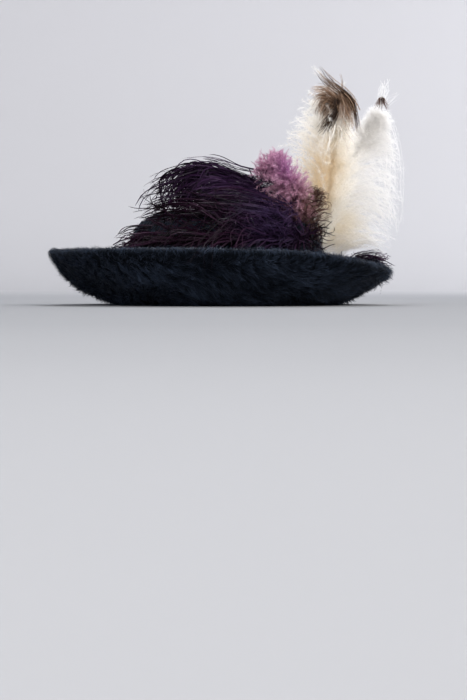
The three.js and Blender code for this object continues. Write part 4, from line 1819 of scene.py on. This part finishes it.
def cream_plume() -> Plume:
    """The tall cream plume, whose brown tip curls over towards the front.

    Returns:
        The plume.
    """
    return Plume(
        "plume_cream", "cream", 4, Growth.SOFT,
        Feather(
            "cream_ostrich", "fdf8ee", "fffefb", "301c13", "c2a083", "f2e0bd",
            passing=0.55, gloss=0.22,
        ),
        QuillHorn("pale_quill_cream", "e4d6bd", "f8f0e1"),
        (0, -1, 0),
        (
            (101, -12, 54, 10, 10, 0),
            (109, -16, 96, 28, 32, 4),
            (113, -14, 132, 32, 52, 8),
            (117, -12, 166, 30, 61, 10),
            (117, -12, 196, 24, 45, 8),
            (114, -14, 218, 14, 18, 4),
        ),
        wisps=(
            Wisp(((136, -34, 206), (132, -34, 215), (125, -33, 222), (115, -29, 230), (106, -24, 240),
                  (100, -19, 250)),
                 60, (6, 6), stain=1.0, tone=0.2, barbs=40, barb_share=0.25, swing=10),
            Wisp(((108, -26, 236), (102, -21, 243), (97, -17, 248), (93, -15, 252)),
                 7, (2, 4), stain=0.1, tone=0.9, half_width=0.2, barbs=30, barb_share=0.4),
            Wisp(((125, -28, 224), (126, -28, 234), (124, -26, 242)),
                 3, (1, 1), stain=0.9, barbs=30, barb_share=0.15, swing=4),
            Wisp(((117, -36, 216), (108, -38, 225), (99, -36, 226), (92, -32, 223)),
                 34, (3, 6), stain=0.88, tone=0.65, half_width=0.34, barbs=40, barb_share=0.25, swing=14),
            *bundle(
                Wisp((), stain=0.85, tone=0.6, half_width=0.34, barbs=40, barb_share=0.25, swing=16),
                (40, 3, 7, (116, -36, 213), (107, -38, 219), (100, -36, 218), (94, -32, 212)),
                (40, 3, 7, (116, -37, 211), (107, -40, 214), (102, -38, 207), (99, -36, 199)),
            ),
            Wisp(((116, -37, 209), (111, -40, 208), (107, -39, 202), (104, -37, 195)),
                 40, (3, 6), stain=0.92, tone=0.3, half_width=0.34, barbs=40, barb_share=0.25, swing=14),
            Wisp(((120, -41, 214), (118, -44, 210), (114, -44, 205)), 26, (2, 4), stain=1.0, tone=-0.6,
                 half_width=0.5, barbs=30, barb_share=0.2, swing=20),
            Wisp(((119, -41, 205), (114, -45, 197), (108, -46, 188), (102, -45, 179)),
                 70, (2.5, 6.5), stain=1.0, tone=-0.4, half_width=0.5, barbs=40, barb_share=0.2, swing=8),
            # Pale strands down the middle of the brown tip: a painted highlight.
            Wisp(((123, -40, 215), (124, -46, 205), (123, -47, 194), (120, -46, 180)),
                 14, (1.5, 3.5), stain=0.5, tone=0.95, half_width=0.35, barbs=40, barb_share=0.2, swing=8),
            Wisp(((126, -36, 223), (134, -37, 212), (138, -38, 199), (141, -37, 178)),
                 40, (2, 2.4), stain=1.0, tone=-0.1, barbs=40, barb_share=0.2, swing=6),
            Wisp(((121, -41, 218), (125, -43, 208), (128, -44, 198), (131, -43, 187)),
                 36, (3, 6), stain=0.92, tone=0.45, half_width=0.34, barbs=40, barb_share=0.25, swing=14),
            Wisp(((123, -36, 219), (128, -39, 208), (132, -40, 196), (138, -39, 178)),
                 64, (5, 9), stain=0.8, tone=0.7, half_width=0.32, barbs=40, barb_share=0.3, swing=16),
            Wisp(((112, -42, 186), (109, -47, 176), (105, -49, 164), (99, -49, 152)), 22, (7, 9), tone=1.0,
                 half_width=0.5, barbs=14, barb_share=0.15, swing=14),
            Wisp(((126, -36, 180), (131, -39, 171), (133, -39, 163), (126, -40, 156)),
                 4, (3, 5), stain=0.35, tone=0.9, barbs=30, barb_share=0.2),
        ),
        stains=(
            Patch((122, -20, 212), 13, 0.8),
            Patch((109, -44, 206), 11, 0.9),
            Patch((128, -36, 209), 9, 0.75),
        ),
        # Warm tan patches on the plume's left flues: painted shade.
        tint_and_painted_shade_patches=(Patch((97, -24, 146), 26, 0.8), Patch((94, -30, 116), 20, 0.6)),
        contrast=0.12,
    )


def white_plume() -> Plume:
    """The tall white plume, a soft veil of fine flues that droop to the right.

    Returns:
        The plume.
    """
    return Plume(
        "plume_white", "white", 5, Growth.VEIL,
        Feather(
            "bleached_ostrich", "f7f6f4", "faf9f8", "4a2a20", "9a7460", "f7eedb",
            passing=0.7, gloss=0.1,
        ),
        QuillHorn("pale_quill_white", "e6e0d5", "f6f2ea"),
        (0, -1, 0),
        (
            (101, 18, 52, 14, 8, 2),
            (110, 24, 92, 64, 18, 26),
            (124, 24, 126, 58, 24, 20),
            (142, 22, 160, 42, 26, 16),
            (156, 19, 188, 20, 16, 10),
            (165, 17, 206, 6, 6, 3),
        ),
        wisps=(
            Wisp(((169, 14, 221.5), (171.3, 13, 216.6), (173.6, 12, 211.8), (176, 11, 207)),
                 14, (0.4, 2.8), stain=1.0, tone=0.3, half_width=0.38, barbs=16, barb_share=0.12, swing=2),
            Wisp(((169, 14, 221.5), (167.2, 13, 218), (165.4, 12, 214.5), (163.5, 11, 211)),
                 14, (0.4, 3), stain=1.0, tone=0.45, half_width=0.38, barbs=16, barb_share=0.12, swing=2),
            Wisp(((169.5, 13, 221), (169.6, 12.5, 217), (169.8, 12, 212)),
                 30, (0.3, 5), stain=1.0, tone=0.35, barbs=16, barb_share=0.1, swing=2),
            Wisp(((168, 16, 212), (170, 14, 222), (172, 12, 230), (172, 12, 238)), 16, (1.5, 7),
                 half_width=0.03, barbs=90, barb_share=0.28, swing=20),
            Wisp(((170, 16, 208), (175, 14, 216), (180, 12, 222), (185, 12, 226)), 7, (1, 7),
                 half_width=0.03, barb_share=0.16, swing=20),
            Wisp(((158, 18, 205), (172, 18, 199), (180, 16, 173), (184, 12, 140), (182, 8, 100),
                  (178, 4, 76)),
                 16, (4, 12), half_width=0.05, barbs=100, barb_share=0.65),
            Wisp(((150, 18, 186), (166, 18, 176), (174, 16, 150), (176, 12, 120), (174, 8, 88)), 18, (8, 11),
                 half_width=0.1, barbs=90, barb_share=0.8),
            *bundle(
                Wisp((), half_width=0.12, barbs=110),
                (30, 12, 14, (112, 12, 62), (124, 8, 80), (138, 6, 84), (150, 6, 76)),
                (28, 10, 12, (104, 6, 58), (114, 0, 72), (128, -2, 74), (140, 2, 64)),
            ),
            Wisp(((118, 10, 58), (138, 8, 68), (156, 6, 71), (171, 6, 65)), 30, (9, 11),
                 half_width=0.12, barbs=110, barb_share=0.8),
            Wisp(((128, 14, 112), (150, 12, 118), (166, 10, 108), (174, 8, 88)), 28, (20, 14),
                 half_width=0.12, barbs=110),
        ),
        tint_and_painted_shade_patches=(Patch((116, 8, 84), 28, 0.8),),
        contrast=0.1,
    )


def dark_plume() -> Plume:
    """The small dark wisps behind the right end of the brim.

    Returns:
        The plume.
    """
    return Plume(
        "plume_dark", "aubergine_deep", 6, Growth.LEAFY,
        Feather(
            "dark_purple_ostrich", "0b060d", "46324a", "3a2621", "6b5344", "6a4a66",
            passing=0.2, sheen=0.06, gloss=0.12,
        ),
        QuillHorn("dyed_quill_dark", "08060a", "120c14"),
        (0, -0.4, 1),
        (
            (98, 42, 38, 8, 8, 0),
            (122, 46, 45, 10, 10, 2),
            (146, 38, 47, 11, 11, 4),
            (164, 24, 47, 11, 11, 8),
        ),
        wisps=(
            Wisp(((142, 36, 52), (156, 26, 55), (167, 10, 54), (177, 0, 47)), 9, (3, 5), tone=0.5,
                 half_width=0.9),
            Wisp(((168, 10, 46), (172, 4, 36), (169, 0, 24), (165, -2, 12)),
                 1, (0.1, 0.1), tone=0.2, barbs=14),
        ),
        stains=(Patch((128, 30, 56), 14, 0.6),),
        tint_and_painted_shade_patches=(Patch((172, 8, 54), 9, 0.6),),
        contrast=0.35,
    )


# Studio


@dataclass(frozen=True)
class Lamp:
    """A square soft light: where it hangs, how wide it is, its power in watts, its colour and its aim."""

    place: tuple[float, float, float]
    width: float
    power: float
    tint: str = "ffffff"
    aim: tuple[float, float, float] = (0.0, 0.0, 0.1)


@dataclass(frozen=True)
class Studio:
    """A pale seamless cove with soft lights and the camera. Sizes are metres here.

    The camera is level and just over the floor, straight at the hat's front, and sees field metres across at
    its distance. The paper's shade runs from floor to wall between shade_from and the cove's outer radius."""

    paper: StudioPaper
    floor_radius: float = 3.4
    cove_radius: float = 1.4
    wall_height: float = 4.2
    floor_rings: tuple[float, ...] = (0.02, 0.6, 1.0, 1.5, 2.0, 2.6, 3.0)
    bend_rings: int = 13
    facets: int = 96
    shade_from: float = 0.9
    distance: float = 2.2
    eye_height: float = 0.025
    eye_side: float = 0.0111
    field: float = 0.742
    sensor: float = 36.0
    shift: float = -0.098
    lamps: tuple[Lamp, ...] = (
        Lamp((1.5, -2.6, 1.9), 1.6, 112.0, "fffcf8"),
        Lamp((-2.0, -2.4, 1.8), 1.8, 54.0, "f2f6ff"),
        Lamp((0.2, 1.5, 2.4), 1.6, 58.0, "f6f9ff"),
        Lamp((2.4, 0.2, 1.5), 1.4, 15.0),
        Lamp((3.0, 1.4, 1.6), 1.0, 126.0, "fbfbff", (2.9, 4.2, 0.7)),
    )
    sky: str = "f4f4f5"
    sky_strength: float = 0.94

    def cove(self) -> bpy.types.Object:
        """The floor, a quarter-round and the wall, turned about the upright axis, its faces inwards.

        Returns:
            The cove.
        """
        turn = np.linspace(0, math.pi / 2, self.bend_rings)
        outer = self.floor_radius + self.cove_radius
        flat = np.array(self.floor_rings)
        radius = np.concatenate([flat, self.floor_radius + self.cove_radius * np.sin(turn), [outer]])
        height = np.concatenate([0 * flat, self.cove_radius * (1 - np.cos(turn)), [self.wall_height]])
        angle = np.arange(self.facets) * math.tau / self.facets
        places = (radius[:, None] * np.cos(angle), radius[:, None] * np.sin(angle), height[:, None])
        points = np.stack(np.broadcast_arrays(*places), axis=-1).reshape(-1, 3)
        middle = np.arange(self.facets)[None, :]
        faces = [grid_faces(len(radius), self.facets, False, True)[:, ::-1], middle]
        wall = np.repeat(smooth_step(radius, self.shade_from, outer), self.facets)
        return build_mesh("studio_cove", points / MM, faces, {"wall": wall})

    def light(self, number: int, lamp: Lamp) -> None:
        """Hangs a lamp and turns it to its aim.

        Args:
            number: the lamp's number, for its name.
            lamp: the lamp.
        """
        data = bpy.data.lights.new(f"softbox_{number}", "AREA")
        data.size = lamp.width
        data.energy = lamp.power
        data.color = colour(lamp.tint)[:3]
        box = bpy.data.objects.new(data.name, data)
        bpy.context.scene.collection.objects.link(box)
        box.location = lamp.place
        away = np.array(lamp.aim) - np.array(lamp.place)
        flat = math.hypot(away[0], away[1])
        box.rotation_euler = (math.atan2(flat, -away[2]), 0, math.atan2(away[1], away[0]) - math.pi / 2)
        box.visible_camera = False

    def build(self) -> None:
        """Sets up the cove, the lights, the sky and the camera."""
        scene = bpy.context.scene
        cove = self.cove()
        cove.data.materials.append(self.paper.material())
        for number, lamp in enumerate(self.lamps):
            self.light(number, lamp)
        world = bpy.data.worlds.new("studio_sky")
        world.use_nodes = True
        backdrop = world.node_tree.nodes["Background"]
        backdrop.inputs["Color"].default_value = colour(self.sky)
        backdrop.inputs["Strength"].default_value = self.sky_strength
        scene.world = world
        data = bpy.data.cameras.new("camera")
        data.sensor_width = self.sensor
        data.lens = self.sensor * self.distance / self.field
        data.shift_y = self.shift
        data.clip_end = 50
        camera = bpy.data.objects.new("camera", data)
        scene.collection.objects.link(camera)
        camera.location = (self.eye_side, -self.distance, self.eye_height)
        camera.rotation_euler = (math.pi / 2, 0, 0)
        scene.camera = camera
        scene.view_settings.view_transform = "Standard"


def main() -> None:
    logging.basicConfig(level=logging.INFO, format="%(name)s %(message)s")
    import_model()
    Studio(StudioPaper()).build()
    form = HatForm()
    nap, felt = PlushNap(), Felt()
    parts = (
        Brim(form, nap, felt),
        Crown(form, nap, felt),
        HeadBand(form, Grosgrain()),
        wrap_plume(form),
        spray_plume(),
        mauve_plume(),
        brown_plume(),
        cream_plume(),
        white_plume(),
        dark_plume(),
    )
    for part in parts:
        part.build()


if __name__ == "__main__":
    main()
